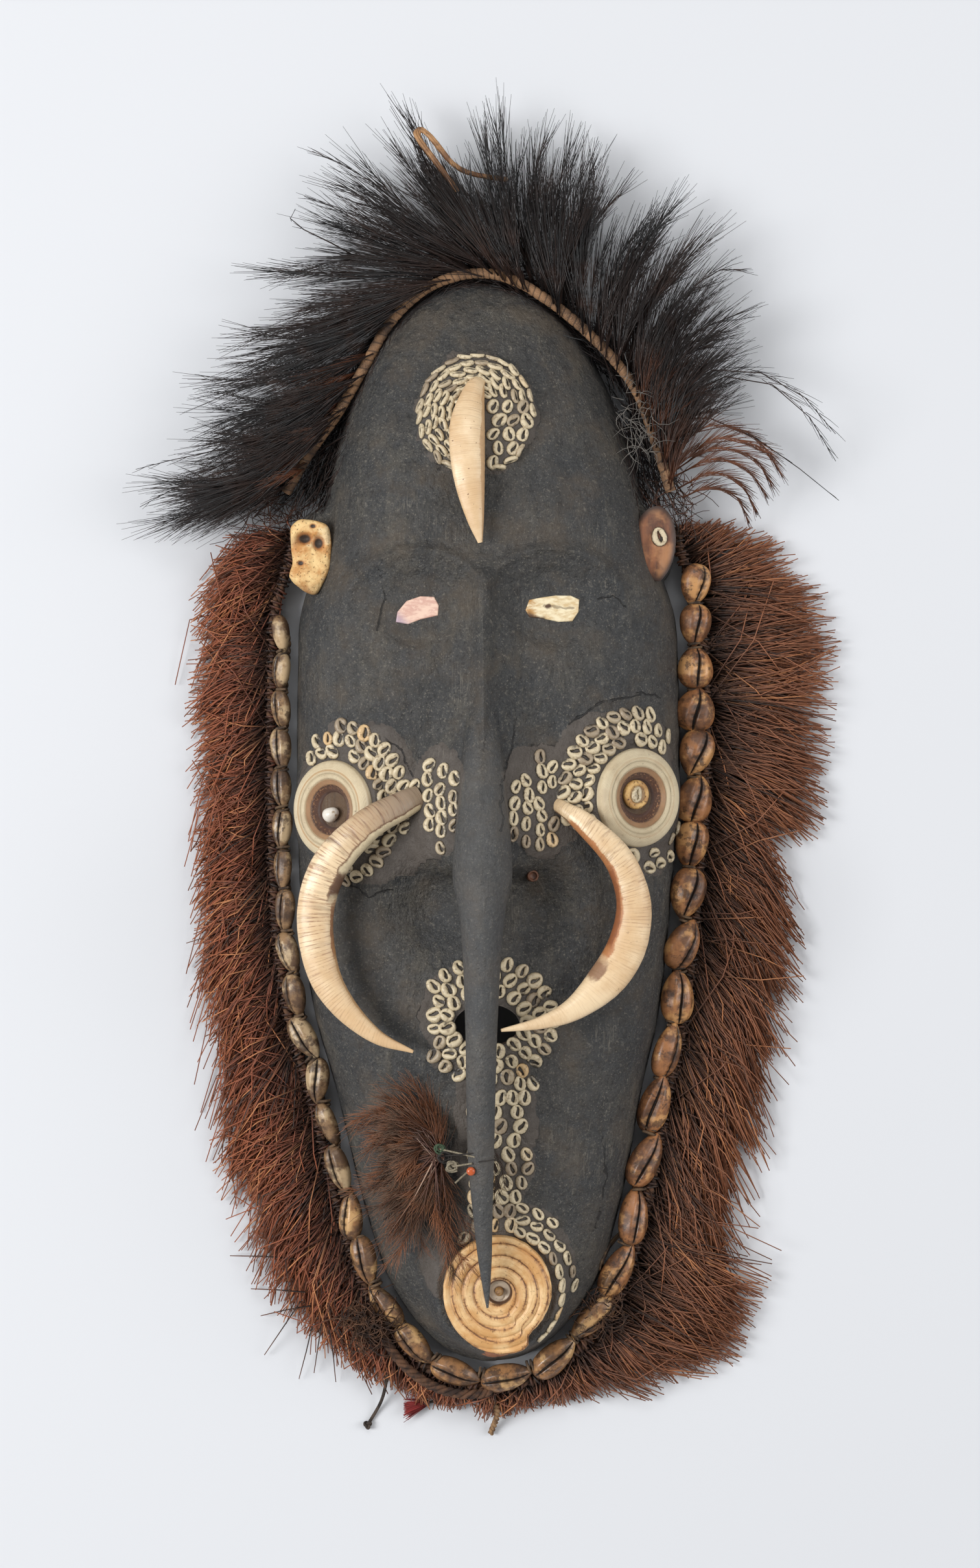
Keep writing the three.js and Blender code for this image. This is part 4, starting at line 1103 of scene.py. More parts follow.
def press(sheets, x, y, heading, lean, size, spacing, slim=1.0):
    """Presses one shell into the clay at (x, y) millimetres, if nothing is in its way there."""
    if any(hypot(x - other_x, y - other_y) < spacing * size for other_x, other_y in taken):
        return
    if not (clear_of(LEFT_CHEEK, x, y, 3.5) and clear_of(RIGHT_CHEEK, x, y, 4.5) and clear_of(CHIN, x, y, 3)):
        return
    if hypot((x - MOUTH["x"]) / (MOUTH["half_width"] + 3), (y - MOUTH["y"]) / (MOUTH["half_height"] + 3)) < 1:
        return
    hit, normal, _, _ = clay_surface.ray_cast(MM * Vector((x, y, face_height(x, y) + 8)), -UP)
    if hit is None or normal.z < 0:
        return
    flat = Vector((normal.x * 0.8, normal.y * 0.8, normal.z)).normalized()
    along = polar(heading)
    along = (along - along.dot(flat) * flat).normalized()
    place = standing(hit - MM * 0.5 * flat, along, flat)
    place = place @ Matrix.Rotation(lean, 4, "X") @ Matrix.Rotation(shell_rng.uniform(-0.08, 0.08), 4, "Y")
    scale = size * shell_rng.uniform(0.9, 1.08)
    taken.append((x, y))
    sheets.append(nassa_sheet(place, NASSA_LONG * scale,
                              NASSA_WIDE * scale * slim * shell_rng.uniform(0.88, 1.06), 2.5))


def bed_of_shells(name, lay):
    """All the shells of one bed as one piece; lay puts them down."""
    sheets = []
    lay(sheets)
    bed = bmesh.new()
    tones, feet = [], []
    for sheet in sheets:
        tone = shell_rng.random()
        for vert in sheet.verts:
            spot, out, _, _ = clay_surface.find_nearest(vert.co)
            tones.append(tone)
            # The foot value: how near each point is to the clay, which the finish darkens with painted shade.
            feet.append(1 - clamp((vert.co - spot).dot(out) / (MM * 1.6)))
        add_to(bed, sheet)
    obj = settled(bed, name, nassa_shell)
    give(obj, "tone", tones)
    give(obj, "foot", feet)
    show(obj, "nassa")


BOSS_RINGS = [(36, 24, -72, 262), (31.3, 16, -5, 250), (26.6, 12, 15, 240), (21.9, 10, 25, 230),
              (17.2, 8, 40, 215), (12.5, 6, 50, 200)]


def lay_boss(sheets):
    for row in range(5):
        for column in range(3):
            x, y = 3 + 9.2 * column + 3.5 * (row % 2), 226 - 9 * row
            if hypot(x - BOSS["x"], y - BOSS["y"]) < 37:
                press(sheets, x + shell_rng.uniform(-1, 1), y, 1.6 + shell_rng.uniform(-1.0, 0.2),
                      radians(10), 1.0, 7.6, 0.95)
    for radius, count, first, last in BOSS_RINGS:
        for step in range(count):
            angle = radians(first + (last - first) * (step + shell_rng.uniform(0.35, 0.65)) / count)
            press(sheets, BOSS["x"] + radius * cos(angle), BOSS["y"] + radius * sin(angle) * 1.06,
                  angle + pi / 2 + shell_rng.uniform(-0.5, 0.2), radians(26), 1.0, 4.4, 0.62)


def lay_cheek(seat, spans):
    """Rings of shells round a cheek disc; a span is its ring, its first and last angle and its count."""
    def lay(sheets):
        flattened = 1 / hypot(1, seat[3])
        for ring, first, last, count in spans:
            for step in range(count):
                angle = radians(first + (last - first) * (step + 0.5 * (ring % 2)) / max(count - 1, 1))
                away = DISC_RADIUS + 6 + ring * RING_PITCH
                press(sheets, seat[0] + (away - 2) * cos(angle) * (flattened + 1) / 2,
                      seat[1] + away * sin(angle), angle + shell_rng.uniform(0.2, 1.2),
                      radians(12), 0.98, 7.6)
    return lay


def lay_wing(columns, outline):
    """Staggered columns of shells inside an outline, long side up the face."""
    def lay(sheets):
        for column in columns:
            for step in range(12):
                y = 10 - step * 9.4 - 4.7 * (columns.index(column) % 2)
                low, high = outline(column)
                if low < y < high:
                    press(sheets, column + shell_rng.uniform(-1.2, 1.2), y + shell_rng.uniform(-1.5, 1.5),
                          pi / 2 + shell_rng.uniform(-0.6, 0.6), radians(9), 0.96, 7.6)
    return lay


def lay_mouth(sheets):
    for away_x, away_y, count, shift in ((26, 20, 15, 0.0), (34, 29, 20, 0.17), (42, 38, 25, 0)):
        for step in range(count):
            angle = 2 * pi * step / count + shift
            if MOUTH["x"] + away_x * cos(angle) > -38:
                press(sheets, MOUTH["x"] + away_x * cos(angle), MOUTH["y"] + 3 + away_y * sin(angle),
                      angle + shell_rng.uniform(-0.5, 0.5), radians(8), 1.0, 7.8)


def lay_chin(sheets):
    for row in range(13):
        y = -199 - row * 9.2
        half = 30 - row * 1.6
        for step in range(8):
            x = 4 + half * (2 * (step + 0.5 * (row % 2)) / 7 - 1)
            if -12 < x < 31 - row * 0.7:
                press(sheets, x, y, pi / 2 + shell_rng.uniform(-0.45, 0.45), radians(6), 1.0, 7.6)
    for ring, first, last, count in ((41.5, 122, -46, 14), (49.5, 106, 2, 10), (57, 96, 52, 5)):
        for step in range(count):
            angle = radians(first + (last - first) * step / (count - 1))
            press(sheets, CHIN[0] + ring * cos(angle), CHIN[1] + ring * sin(angle),
                  angle + pi / 2 + shell_rng.uniform(-0.6, 0.3), radians(14), 0.95, 7.2, 0.85)


left_wing = (through((-47, -26), (-40, -46), (-33, -56), (-26, -66), (-19, -64)),
             through((-47, -10), (-40, 2), (-33, 4), (-26, -6), (-19, -16)))
right_wing = (through((14, -58), (23, -66), (31, -64), (39, -58), (46, -50), (54, -42)),
              through((14, -16), (23, -6), (31, 2), (39, 4), (46, -2), (54, -12)))
bed_of_shells("nassa_forehead", lay_boss)
bed_of_shells("nassa_cheek_left", lay_cheek(LEFT_CHEEK, [(0, 118, -40, 13), (1, 112, -30, 14),
                                                         (2, 84, -12, 11), (0, -100, -50, 5),
                                                         (1, -96, -40, 6)]))
bed_of_shells("nassa_cheek_right", lay_cheek(RIGHT_CHEEK, [(0, 60, 215, 13), (1, 54, 196, 14),
                                                           (2, 80, 186, 12), (0, -95, -20, 7),
                                                           (1, -84, -40, 5)]))
bed_of_shells("nassa_wing_left", lay_wing([-46.5, -38, -29.5, -21],
                                          lambda x: [side(x) for side in left_wing]))
bed_of_shells("nassa_wing_right", lay_wing([16, 24.5, 33, 41.5, 50],
                                           lambda x: [side(x) for side in right_wing]))
bed_of_shells("nassa_mouth", lay_mouth)
bed_of_shells("nassa_chin", lay_chin)


# The boar tusks: two curve down and inwards from the wings of the nose, one hangs on the forehead.
# Each is a tooth with fine growth lines, a stained root, a worn facet and a polished point.
FOREHEAD_TUSK = [(-5.6, 243, 77, 8, 7), (-9.1, 236, 82, 13.6, 11), (-13.2, 215, 91, 21.9, 15),
                 (-13.4, 194.6, 96, 22.3, 15), (-11.6, 174, 98.5, 18.6, 12), (-8.3, 153, 99, 11.2, 8),
                 (-5.2, 137.6, 98, 3, 3)]
LEFT_TUSK = [(-45, -24.5, 84, 15, 13), (-56, -30, 90, 18, 16), (-78.2, -42.9, 97, 20.7, 18),
             (-100.9, -67.8, 95, 24, 19), (-110.5, -98.9, 91, 23.4, 19), (-106.3, -133.3, 90, 21, 17),
             (-93.5, -156.9, 91, 16.5, 14), (-71.9, -176.8, 93, 9.5, 8), (-47.9, -186.7, 95, 2, 2)]
RIGHT_TUSK = [(43, -29, 82, 8.5, 8), (50, -33, 87, 10, 10), (61.9, -41.7, 91, 14.5, 13),
              (81.4, -61.6, 92, 18.6, 16), (90.9, -82.3, 91, 21, 18), (92.6, -101, 90, 23, 19),
              (87, -123, 90, 25, 19), (73.9, -142.4, 92, 23.5, 17), (54.5, -159, 98, 15, 12),
              (33.7, -167.3, 105, 8.3, 7), (8, -171.5, 115, 2, 2)]


def make_growth_lines():
    """Fine lines across a tooth or a shell, close together and a little wavy, dark where the value is 1."""
    lines = Effect("growth_lines", "Float", Surface="Vector", Where="Vector", Count="Float", Slant="Float",
                   Strength="Float")
    parts = lines.axes(lines.given["Surface"])
    swing = lines.times(lines.sum(lines.times(parts[0], 6.2832), 0, "SINE"), lines.given["Slant"])
    wander = lines.centred(lines.noise(22, 2, where=lines.given["Where"]), 0.012)
    along = lines.sum(lines.sum(parts[1], swing), wander)
    row = lines.vector(lines.times(along, lines.given["Count"]), lines.times(parts[0], 2.2))
    cut = lines.noise(1.0, 2, where=row)
    return lines.result(lines.times(lines.between(cut, 0.52, 0.68), lines.given["Strength"]))


growth_lines = make_growth_lines()


def tusk_finish(name, inner, root, bands, edge_spans, fleck=0.3):
    """Old ivory: cream with faint growth lines, a stained root, brown bands and what the inner edge shows.

    inner is the place of the inner edge round the tusk, root is (reach, share, colour), bands is
    (reach, share), and each span along the edge is (first, last, breadth, share, colour).
    """
    ivory = Finish(name, 0.36)
    where = ivory.place
    parts = ivory.axes(ivory.surface)
    cloud = ivory.noise(26, 5)
    ivory.paint(ivory.between(cloud, 0.35, 0.65), (228, 203, 166), (206, 172, 130))
    reach, share, tone = root
    patchy = ivory.noise(45)
    ivory.stain(ivory.between(parts[1], reach * 1.3, reach * 0.4), tone, share)
    lines = [ivory.apply(growth_lines, Surface=ivory.surface, Where=where, Count=count, Slant=0.01,
                         Strength=1.0) for count in (55, 120, 260)]
    near = ivory.times(ivory.between(parts[1], bands[0] * 1.7, bands[0] * 0.7),
                       ivory.between(patchy, 0.36, 0.56, 0.3))
    ivory.stain(ivory.times(lines[0], near), (92, 74, 62), 0.55 * bands[1])
    ivory.stain(ivory.times(lines[1], near), (104, 66, 48), 0.65 * bands[1])
    skewed = ivory.vector(ivory.sum(parts[1], ivory.times(parts[0], 0.03)), ivory.times(parts[0], 0.02))
    ridge = ivory.node("ShaderNodeTexWave", {"Vector": skewed, "Scale": 33.0, "Distortion": 6.0,
                                             "Detail": 3.0, "Detail Scale": 2.2}).outputs["Fac"]
    worn = ivory.between(ivory.noise(130, 4, 0.65), 0.4, 0.6, 0.12)
    ring = ivory.times(ivory.times(ivory.between(ridge, 0.26, 0.02), worn),
                       ivory.between(parts[1], reach * 0.5, reach * 1.2, 0.25))
    ivory.stain(ivory.times(ring, ivory.between(parts[1], bands[0] * 2.2, bands[0], 0.25)), (128, 82, 56),
                0.7 * min(bands[1] + 0.15, 1))
    ivory.stain(lines[2], (176, 136, 96), 0.2)
    uneven = ivory.centred(ivory.noise(90, 5, 0.7), 0.1)
    ragged = ivory.sum(ivory.off(ivory.fraction(ivory.sum(parts[0], 1.5 - inner))), uneven)
    for first, last, breadth, share, tone in edge_spans:
        along = ivory.sum(parts[1], ivory.times(uneven, 0.6))
        spell = ivory.times(ivory.between(along, first, first + 0.03),
                            ivory.between(along, last, last - 0.03))
        band = ivory.times(ivory.between(ragged, breadth, breadth * 0.82), spell)
        grained = ivory.mix(ivory.noise(330, 4, 0.7), tone, tint(*(0.72 * c for c in tone)))
        ivory.stain(band, grained, share)
    ivory.stain(ivory.between(ivory.noise(330, 2, 0.5), 0.7, 0.735), (110, 76, 54), fleck)
    relief = ivory.grain(ivory.times(lines[1], near), -0.0004, 0.5, ivory.grain(uneven, 0.004, 0.4))
    return ivory.coat(ivory.between(cloud, 0.3, 0.7, 0.3, 0.5), relief)


def tooth(stations, edges):
    """A tusk through its stations, with its worn edges given as (place round it, rise, breadth)."""
    def swell(u, t):
        grain = 0.012 * ripple(t * 60, cos(2 * pi * u), sin(2 * pi * u))
        return (1 + sum(rise * edge_at(u, place, breadth) for place, rise, breadth in edges)) * (1 + grain)

    return tube(stations, 40, 150, swell, cap=0.012)


left_ivory = tusk_finish("left_tusk_ivory", 0.44, (0.30, 0.85, (136, 120, 104)), (0.42, 1.0),
                         [(0.03, 0.47, 0.115, 0.8, (110, 72, 50)), (0.03, 0.47, 0.095, 1.0, (238, 218, 180)),
                          (0.36, 0.46, 0.10, 0.9, (92, 50, 34)), (0.45, 0.62, 0.05, 0.8, (150, 92, 58)),
                          (0.55, 0.95, 0.035, 0.6, (196, 146, 96))], 0.2)
right_ivory = tusk_finish("right_tusk_ivory", 0.06, (0.14, 0.5, (196, 172, 136)), (0.36, 0.45),
                          [(0.03, 0.18, 0.045, 0.8, (124, 82, 56)),
                           (0.14, 0.66, 0.10, 0.9, (192, 122, 70)),
                           (0.30, 0.62, 0.075, 0.8, (150, 88, 54)),
                           (0.64, 0.73, 0.14, 0.8, (134, 86, 60))], 0.35)
forehead_ivory = tusk_finish("forehead_tusk_ivory", 0.46, (0.10, 0.4, (206, 176, 132)), (0.5, 0.12),
                             [(0.0, 1.1, 0.085, 0.75, (206, 160, 112))], 0.8)
for tusk_name, stations, ivory, edges in (
        ("cheek_tusk_left", LEFT_TUSK, left_ivory, [(0.10, 0.09, 0.10), (0.40, 0.06, 0.12)]),
        ("cheek_tusk_right", RIGHT_TUSK, right_ivory, [(0.40, 0.09, 0.10), (0.12, 0.05, 0.12)]),
        ("forehead_tusk", FOREHEAD_TUSK, forehead_ivory, [(0.09, 0.10, 0.08), (0.36, 0.03, 0.12)])):
    tusk = settled(tooth(stations, edges), tusk_name + "_ivory", ivory)
    show(tusk, "tusk", tusk_name)


# The small round peg that plugs the hole under the right wing of the nose, dished at its end.
PEG_X, PEG_Y = 28, -75
PEG_RADIUS = 3.8
PEG_PROUD = 4.2
PEG_PROFILE = [(0, -6), (3.6, -6), (PEG_RADIUS, -2), (PEG_RADIUS, 3), (3.5, PEG_PROUD),
               (2.6, PEG_PROUD + 0.2), (2.0, PEG_PROUD - 0.9), (0, PEG_PROUD - 1.5)]


def dark_wood_finish(name, light, dark):
    """Handled dark wood, its figure in two tones."""
    timber = Finish(name, 0.55)
    where = timber.place
    figure = timber.noise(210, 5, where=timber.stretched(where, (1, 0.2, 1), 0.3))
    timber.paint(timber.between(figure, 0.3, 0.7), light, dark)
    return timber.coat(normal=timber.grain(figure, 0.0005, 0.5))


peg_hit = clay_surface.ray_cast(Vector((MM * PEG_X, MM * PEG_Y, 0.2)), -UP)[0]
peg_place = Matrix.Translation(peg_hit) @ Matrix.Rotation(0.15, 4, "Y")
peg = turned("nostril_peg_wood", PEG_PROFILE, 28, peg_place,
             dark_wood_finish("peg_wood", (112, 70, 46), (58, 38, 30)))
show(peg, "peg_wood", "nostril_peg")


# The piece of old yellow bone on the left ear flap, with two eaten hollows and a broken tip.
EAR_BONE_OUTLINE = [(-13, 20), (-7, 25), (4, 24), (12, 21), (14, 10), (13, -8), (8, -18), (4, -25), (-3, -23),
                    (-13, -15), (-14, -10), (-11, -5), (-12.5, 6)]
EAR_BONE_PLACE = Vector((-116, 131.5, 43.3))
EAR_BONE_DEPTH = 13
BONE_VOXEL = 0.0007
BONE_HOLLOWS = [(-3.5, 12, 7.2, 5.2, 6), (5.5, 9, 5.2, 6.2, 5), (-6, -4, 3.4, 2.6, 1.8),
                (2, 20, 3.2, 2.2, 1.6)]

bone_bm = bmesh.new()
bone_rim = [bone_bm.verts.new(MM * (EAR_BONE_PLACE + Vector((x, y, 0)))) for x, y in EAR_BONE_OUTLINE]
bone_bm.faces.new(bone_rim)
raised(bone_bm, EAR_BONE_DEPTH)
bmesh.ops.bevel(bone_bm, geom=bone_bm.edges[:], offset=MM * 3.2, segments=3, affect="EDGES", profile=0.5,
                material=-1)
ear_bone = settled(bone_bm, "ear_bone_yellow", None)
even = ear_bone.modifiers.new("even", "REMESH")
even.mode = "VOXEL"
even.voxel_size = BONE_VOXEL
even.use_smooth_shade = True
ear_bone = as_mesh(ear_bone)
for vert in ear_bone.data.vertices:
    point = vert.co / MM - EAR_BONE_PLACE
    x, y, z = point
    upper = ramp(EAR_BONE_DEPTH * 0.35, EAR_BONE_DEPTH, z)
    sink = sum(depth * bell(hypot((x - a) / half_a, (y - b) / half_b) * 0.9)
               for a, b, half_a, half_b, depth in BONE_HOLLOWS)
    saddle = 1.6 * bell(abs(y - 2) / 16) + 2.2 * ramp(-12, -25, y)
    pores = 0.8 * max(noise.noise(point * 0.7) - 0.15, 0) + 0.5 * noise.noise(point * 0.22)
    vert.co.z -= MM * upper * (sink + saddle + pores)


def bone_finish():
    """Porous bone, yellow ochre, greyed inside its hollows and towards the broken tip."""
    bone = Finish("yellow_bone", 0.62)
    cloud = bone.noise(75, 6, 0.65)
    bone.paint(bone.between(cloud, 0.36, 0.62), (226, 192, 134), (190, 134, 74))
    patch = bone.between(bone.noise(60), 0.52, 0.62)
    bone.stain(patch, (228, 208, 168), 0.55)
    pores = bone.between(bone.noise(620, 3, 0.7), 0.6, 0.68)
    bone.stain(pores, (112, 82, 52), 0.65)
    deep = bone.marks("hollow")
    bone.stain(bone.between(deep, 0.02, 0.35, 0, 0.7), (164, 104, 58))
    bone.stain(bone.between(deep, 0.3, 0.7), (66, 54, 46))
    bone.stain(bone.times(bone.marks("tip"), cloud), (92, 74, 60))
    return bone.coat(normal=bone.grain(pores, -0.0006, 0.8, bone.grain(cloud, 0.0012, 0.5)))


ear_bone.data.materials.clear()
ear_bone.data.materials.append(bone_finish())


def in_bone_hollow(x, y, z):
    x, y = x - EAR_BONE_PLACE.x, y - EAR_BONE_PLACE.y
    return (z > 46) * max(bell(0.95 * hypot((x - a) / half_a, (y - b) / half_b))
                          for a, b, half_a, half_b, _ in BONE_HOLLOWS)


def at_bone_tip(x, y, z):
    x, y = x - EAR_BONE_PLACE.x, y - EAR_BONE_PLACE.y
    return 0.8 * ramp(-14, -24, y) + 0.6 * bell(hypot(x + 10, y - 10) / 6)


mark(ear_bone, hollow=in_bone_hollow, tip=at_bone_tip)
show(ear_bone, "bone", "ear_bone_left")


# The brown plaque on the right ear flap: a low oval of nut shell with one nassa shell on it.
PLAQUE_PLACE = Matrix.Translation(MM * Vector((107.5, 139.5, 43.3))) @ Matrix.Rotation(-0.13, 4, "Z")
PLAQUE_HALF_WIDTH, PLAQUE_HALF_HEIGHT = 14.5, 26
PLAQUE_FOOT = -22.5
PLAQUE_DEPTH = 6


def plaque_point(u, v):
    angle = 2 * pi * u
    share = min(v / 0.55, 1) if v < 0.55 else 1 - (v - 0.55) / 0.45
    edge = sin(min(share, 1) * pi / 2) if v >= 0.55 else min(share * 2.2, 1)
    x = PLAQUE_HALF_WIDTH * edge * cos(angle)
    y = max(PLAQUE_HALF_HEIGHT * edge * sin(angle), PLAQUE_FOOT * edge)
    if v < 0.25:
        z = 0
    elif v < 0.55:
        z = (PLAQUE_DEPTH - 3.4) * (v - 0.25) / 0.30
    else:
        z = PLAQUE_DEPTH - 3.4 * edge ** 3 + 0.5 * ripple(x * 0.2, y * 0.12, 0)
    return PLAQUE_PLACE @ (MM * Vector((x, y, z)))


def nut_finish():
    """Nut shell rubbed orange on its crown and dark with handling at its edges."""
    nut = Finish("brown_nut", 0.5)
    where = nut.place
    figure = nut.noise(150, 5, where=nut.stretched(where, (1, 0.3, 1), -0.13))
    nut.paint(nut.between(figure, 0.34, 0.66), (140, 88, 56), (80, 50, 36))
    rubbed = nut.between(nut.noise(58), 0.46, 0.62)
    nut.stain(rubbed, (184, 132, 88), 0.6)
    out = nut.axes(nut.surface)[1]
    nut.stain(nut.between(out, 0.78, 0.62), (62, 44, 36))
    return nut.coat(normal=nut.grain(figure, 0.0006, 0.5))


plaque = settled(rolled(56, 40, plaque_point), "ear_plaque_nut", nut_finish())
show(plaque, "brown_plaque", "ear_plaque_right")

PLAQUE_SHELL_SPOT = Vector((3, 6, PLAQUE_DEPTH - 0.3))
plaque_shell_place = PLAQUE_PLACE @ Matrix.Translation(MM * PLAQUE_SHELL_SPOT) @ Matrix.Rotation(1.9, 4, "Z")
plaque_shell = settled(nassa_sheet(plaque_shell_place, 6.6, 5.3, 2.6), "nassa_on_plaque", nassa_shell)
mark(plaque_shell, tone=lambda x, y, z: 0.5, foot=lambda x, y, z: 1.0 * (z < 50))
show(plaque_shell, "nassa")
inner_shell_place = (on_seat(RIGHT_CHEEK) @ INNER_SHIFT @ Matrix.Translation(MM * Vector((-1, 0, 4.4)))
                     @ Matrix.Rotation(1.3, 4, "Z"))
inner_shell = settled(nassa_sheet(inner_shell_place, 5.6, 4.2, 2.0), "nassa_in_disc", nassa_shell)
mark(inner_shell, tone=lambda x, y, z: 0.92, foot=lambda x, y, z: 0.35)
show(inner_shell, "nassa")


# The garland: money cowries strung end to end along the rim, their toothed slits up.
# Those on the right and at the chin are brown with wear, those on the left are smooth and greyish.
garland_rng = random.Random(23)
COWRIE_TEETH = 13


def cowrie_finish(name, light, dark, stain, lip):
    """Glossy shell, mottled and smudged, pale along the lips, with painted shade at its ends, in its slit and
    in the grooves between its teeth.
    """
    shell = Finish(name, 0.34)
    parts = shell.axes(shell.surface)
    cloud = shell.noise(75, 6, 0.66)
    shell.paint(shell.between(cloud, 0.38, 0.6), light, dark)
    rubbed = shell.between(shell.noise(58), 0.5, 0.62)
    shell.stain(rubbed, lip, 0.75)
    blot = shell.between(shell.noise(110, 6, 0.7), 0.52, 0.6)
    shell.stain(blot, stain, 0.75)
    # Painted shade where each shell meets its neighbours: both ends darken.
    ends = shell.sum(shell.off(parts[1]), shell.times(cloud, 0.12))
    shell.stain(shell.between(ends, 0.47, 0.55, 0, 0.85), (58, 42, 33))
    # Painted shade: darker towards the slit, near black in the slit itself, and dark in the grooves between
    # the teeth.
    shell.stain(shell.between(shell.marks("slit"), 0.02, 0.5), (54, 38, 30), 0.7)
    shell.stain(shell.marks("tooth"), (44, 31, 25), 0.85)
    shell.stain(shell.marks("slit"), (18, 13, 11))
    return shell.coat(shell.between(cloud, 0.3, 0.7, 0.26, 0.5), shell.grain(shell.noise(260), 0.0006, 0.4))


brown_cowrie = cowrie_finish("brown_cowrie", (164, 112, 72), (104, 70, 48), (66, 48, 38),
                             (210, 158, 102))
grey_cowrie = cowrie_finish("grey_cowrie", (146, 116, 84), (92, 69, 51), (66, 49, 38),
                            (202, 176, 138))
chin_cowrie = cowrie_finish("chin_cowrie", (154, 112, 74), (98, 71, 51), (64, 49, 40),
                            (214, 172, 118))


def cowrie_shape(place, long, wide, high, phase, pointed):
    """An egg with a crooked toothed slit along its upper side, drawn to a blunt point at both its ends."""
    slits, teeth = [], []

    def comb(s):
        return 0.5 + 0.5 * cos(2 * pi * (COWRIE_TEETH * (s + 1) / 2 + phase))

    def corner(u, v):
        s = -cos(pi * v)
        side = (u - 0.5) * 2
        off = pi * (0.22 * side + 0.78 * side ** 3)
        angle = pi / 2 + off + 0.12 * sin(2.4 * s) * (1 - abs(side))
        girth = max(1 - abs(s) ** 2.3, 0) ** (pointed + 0.16 * s) * (1.06 - 0.22 * s)
        groove = bell(abs(off) / 0.15) * ramp(0.99, 0.82, abs(s))
        lips = bell(abs(abs(off) - 0.44) / 0.34) * ramp(1, 0.6, abs(s))
        near = bell(abs(abs(off) - 0.22) / 0.20) * ramp(0.97, 0.8, abs(s))
        radius = girth * (1 - 0.34 * groove + 0.09 * lips - 0.08 * comb(s) * near)
        return place @ (MM * Vector((long / 2 * s, wide / 2 * radius * cos(angle),
                                     high / 2 * radius * sin(angle))))

    sheet = rolled(34, 28, corner)
    surface = sheet.loops.layers.uv["surface"]
    places = {loop.vert: loop[surface].uv.copy() for face in sheet.faces for loop in face.loops}
    for vert in sheet.verts:
        side, s = (places[vert].x - 0.5) * 2, -cos(pi * places[vert].y)
        off = abs(pi * (0.22 * side + 0.78 * side ** 3))
        slits.append(bell(off / 0.13) ** 0.7 * ramp(0.99, 0.86, abs(s)))
        teeth.append(comb(s) * ramp(0.40, 0.16, off) * ramp(0.97, 0.8, abs(s)))
    return sheet, slits, teeth


cowrie_lean = through((0, 52), (0.25, 46), (0.42, 25), (0.55, 18), (0.75, 24), (1, 30))
cowrie_width = through((0, 13.5), (0.3, 15.5), (0.5, 17.5), (0.7, 20), (0.93, 23.5), (1, 19))
garland_nodes = sorted(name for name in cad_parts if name.startswith("garland_shell_"))
garland_boxes = [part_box(name) for name in garland_nodes]
garland_places = [(low + high) / 2 for low, high in garland_boxes]
garland_spots = []
for index, (name, centre) in enumerate(zip(garland_nodes, garland_places)):
    before = garland_places[max(index - 1, 0)]
    after = garland_places[min(index + 1, len(garland_places) - 1)]
    along = (after - before).normalized()
    share = index / (len(garland_places) - 1)
    lean = radians(cowrie_lean(share) + garland_rng.gauss(0, 16))
    wide = cowrie_width(share) * garland_rng.uniform(0.9, 1.08)
    step = (after - before).length / MM / (2 if 0 < index < len(garland_places) - 1 else 1)
    long = step * garland_rng.uniform(1.0, 1.06)
    out = along.cross(UP).normalized()
    out = out if out.dot(Vector((centre.x, centre.y + 0.04, 0))) > 0 else -out
    flip = 1 if garland_rng.random() < 0.6 else -1
    up = (UP * cos(lean) + out * sin(lean)).normalized()
    heading = (along * flip + out * garland_rng.gauss(0, 0.14)
               + Vector((0, 0, garland_rng.uniform(-0.12, 0.12))))
    heading.normalize()
    up = (up - up.dot(heading) * heading).normalized()
    place = standing(centre, heading, up)
    finish = grey_cowrie if share < 0.38 else chin_cowrie if share < 0.6 else brown_cowrie
    sheet, slits, teeth = cowrie_shape(place, 1.04 * long, wide, 0.74 * wide, garland_rng.random(), 0.62)
    cowrie = settled(sheet, name + "_cowrie", finish)
    give(cowrie, "slit", slits)
    give(cowrie, "tooth", teeth)
    show(cowrie, "cowrie", name)
    garland_spots.append((centre, heading * flip, up, long))

bast = twine_finish("garland_bast", (104, 82, 60), (50, 38, 30))
line_points = []
for centre, heading, up, long in garland_spots:
    line_points.append(centre - MM * 3.5 * up - MM * 0.25 * long * heading)
    line_points.append(centre - MM * 3.5 * up + MM * 0.25 * long * heading)
garland_plies = twisted(line_points, len(line_points) * 1.4, 0.0011, 5)
garland_cord = as_mesh(strand("garland_cord", garland_plies, 0.0026, bast, sides=6))
show(garland_cord, "cowrie")
ties = []
for (centre, heading, up, long), (next_centre, _, _, _) in zip(garland_spots, garland_spots[1:]):
    knot = (centre + next_centre) / 2 - MM * 0.5 * up
    side = up.cross(heading)
    ring = []
    for step in range(13):
        angle = 2 * pi * step / 9
        ring.append(knot + MM * (4.6 * cos(angle) * side + 3.4 * sin(angle) * up
                                 + (step - 6) * 0.32 * heading))
    ties.append(ring)
loose_x = through((0, 89), (0.3, 80), (0.6, 73.3), (0.8, 74), (1, 77))
loose_y = through((0, -309), (0.6, -332), (1, -350))
for aside in (0, 1.6):
    loose_tie = []
    for step in range(13):
        x, y = loose_x(step / 12) + aside, loose_y(step / 12)
        loose_tie.append(MM * Vector((x, y, max(face_height(x, y) + 1.2, 26 - 3 * step))))
    ties.append(loose_tie)
garland_ties = as_mesh(strand("garland_ties", ties, 0.0019, bast, sides=6))
show(garland_ties, "cowrie")


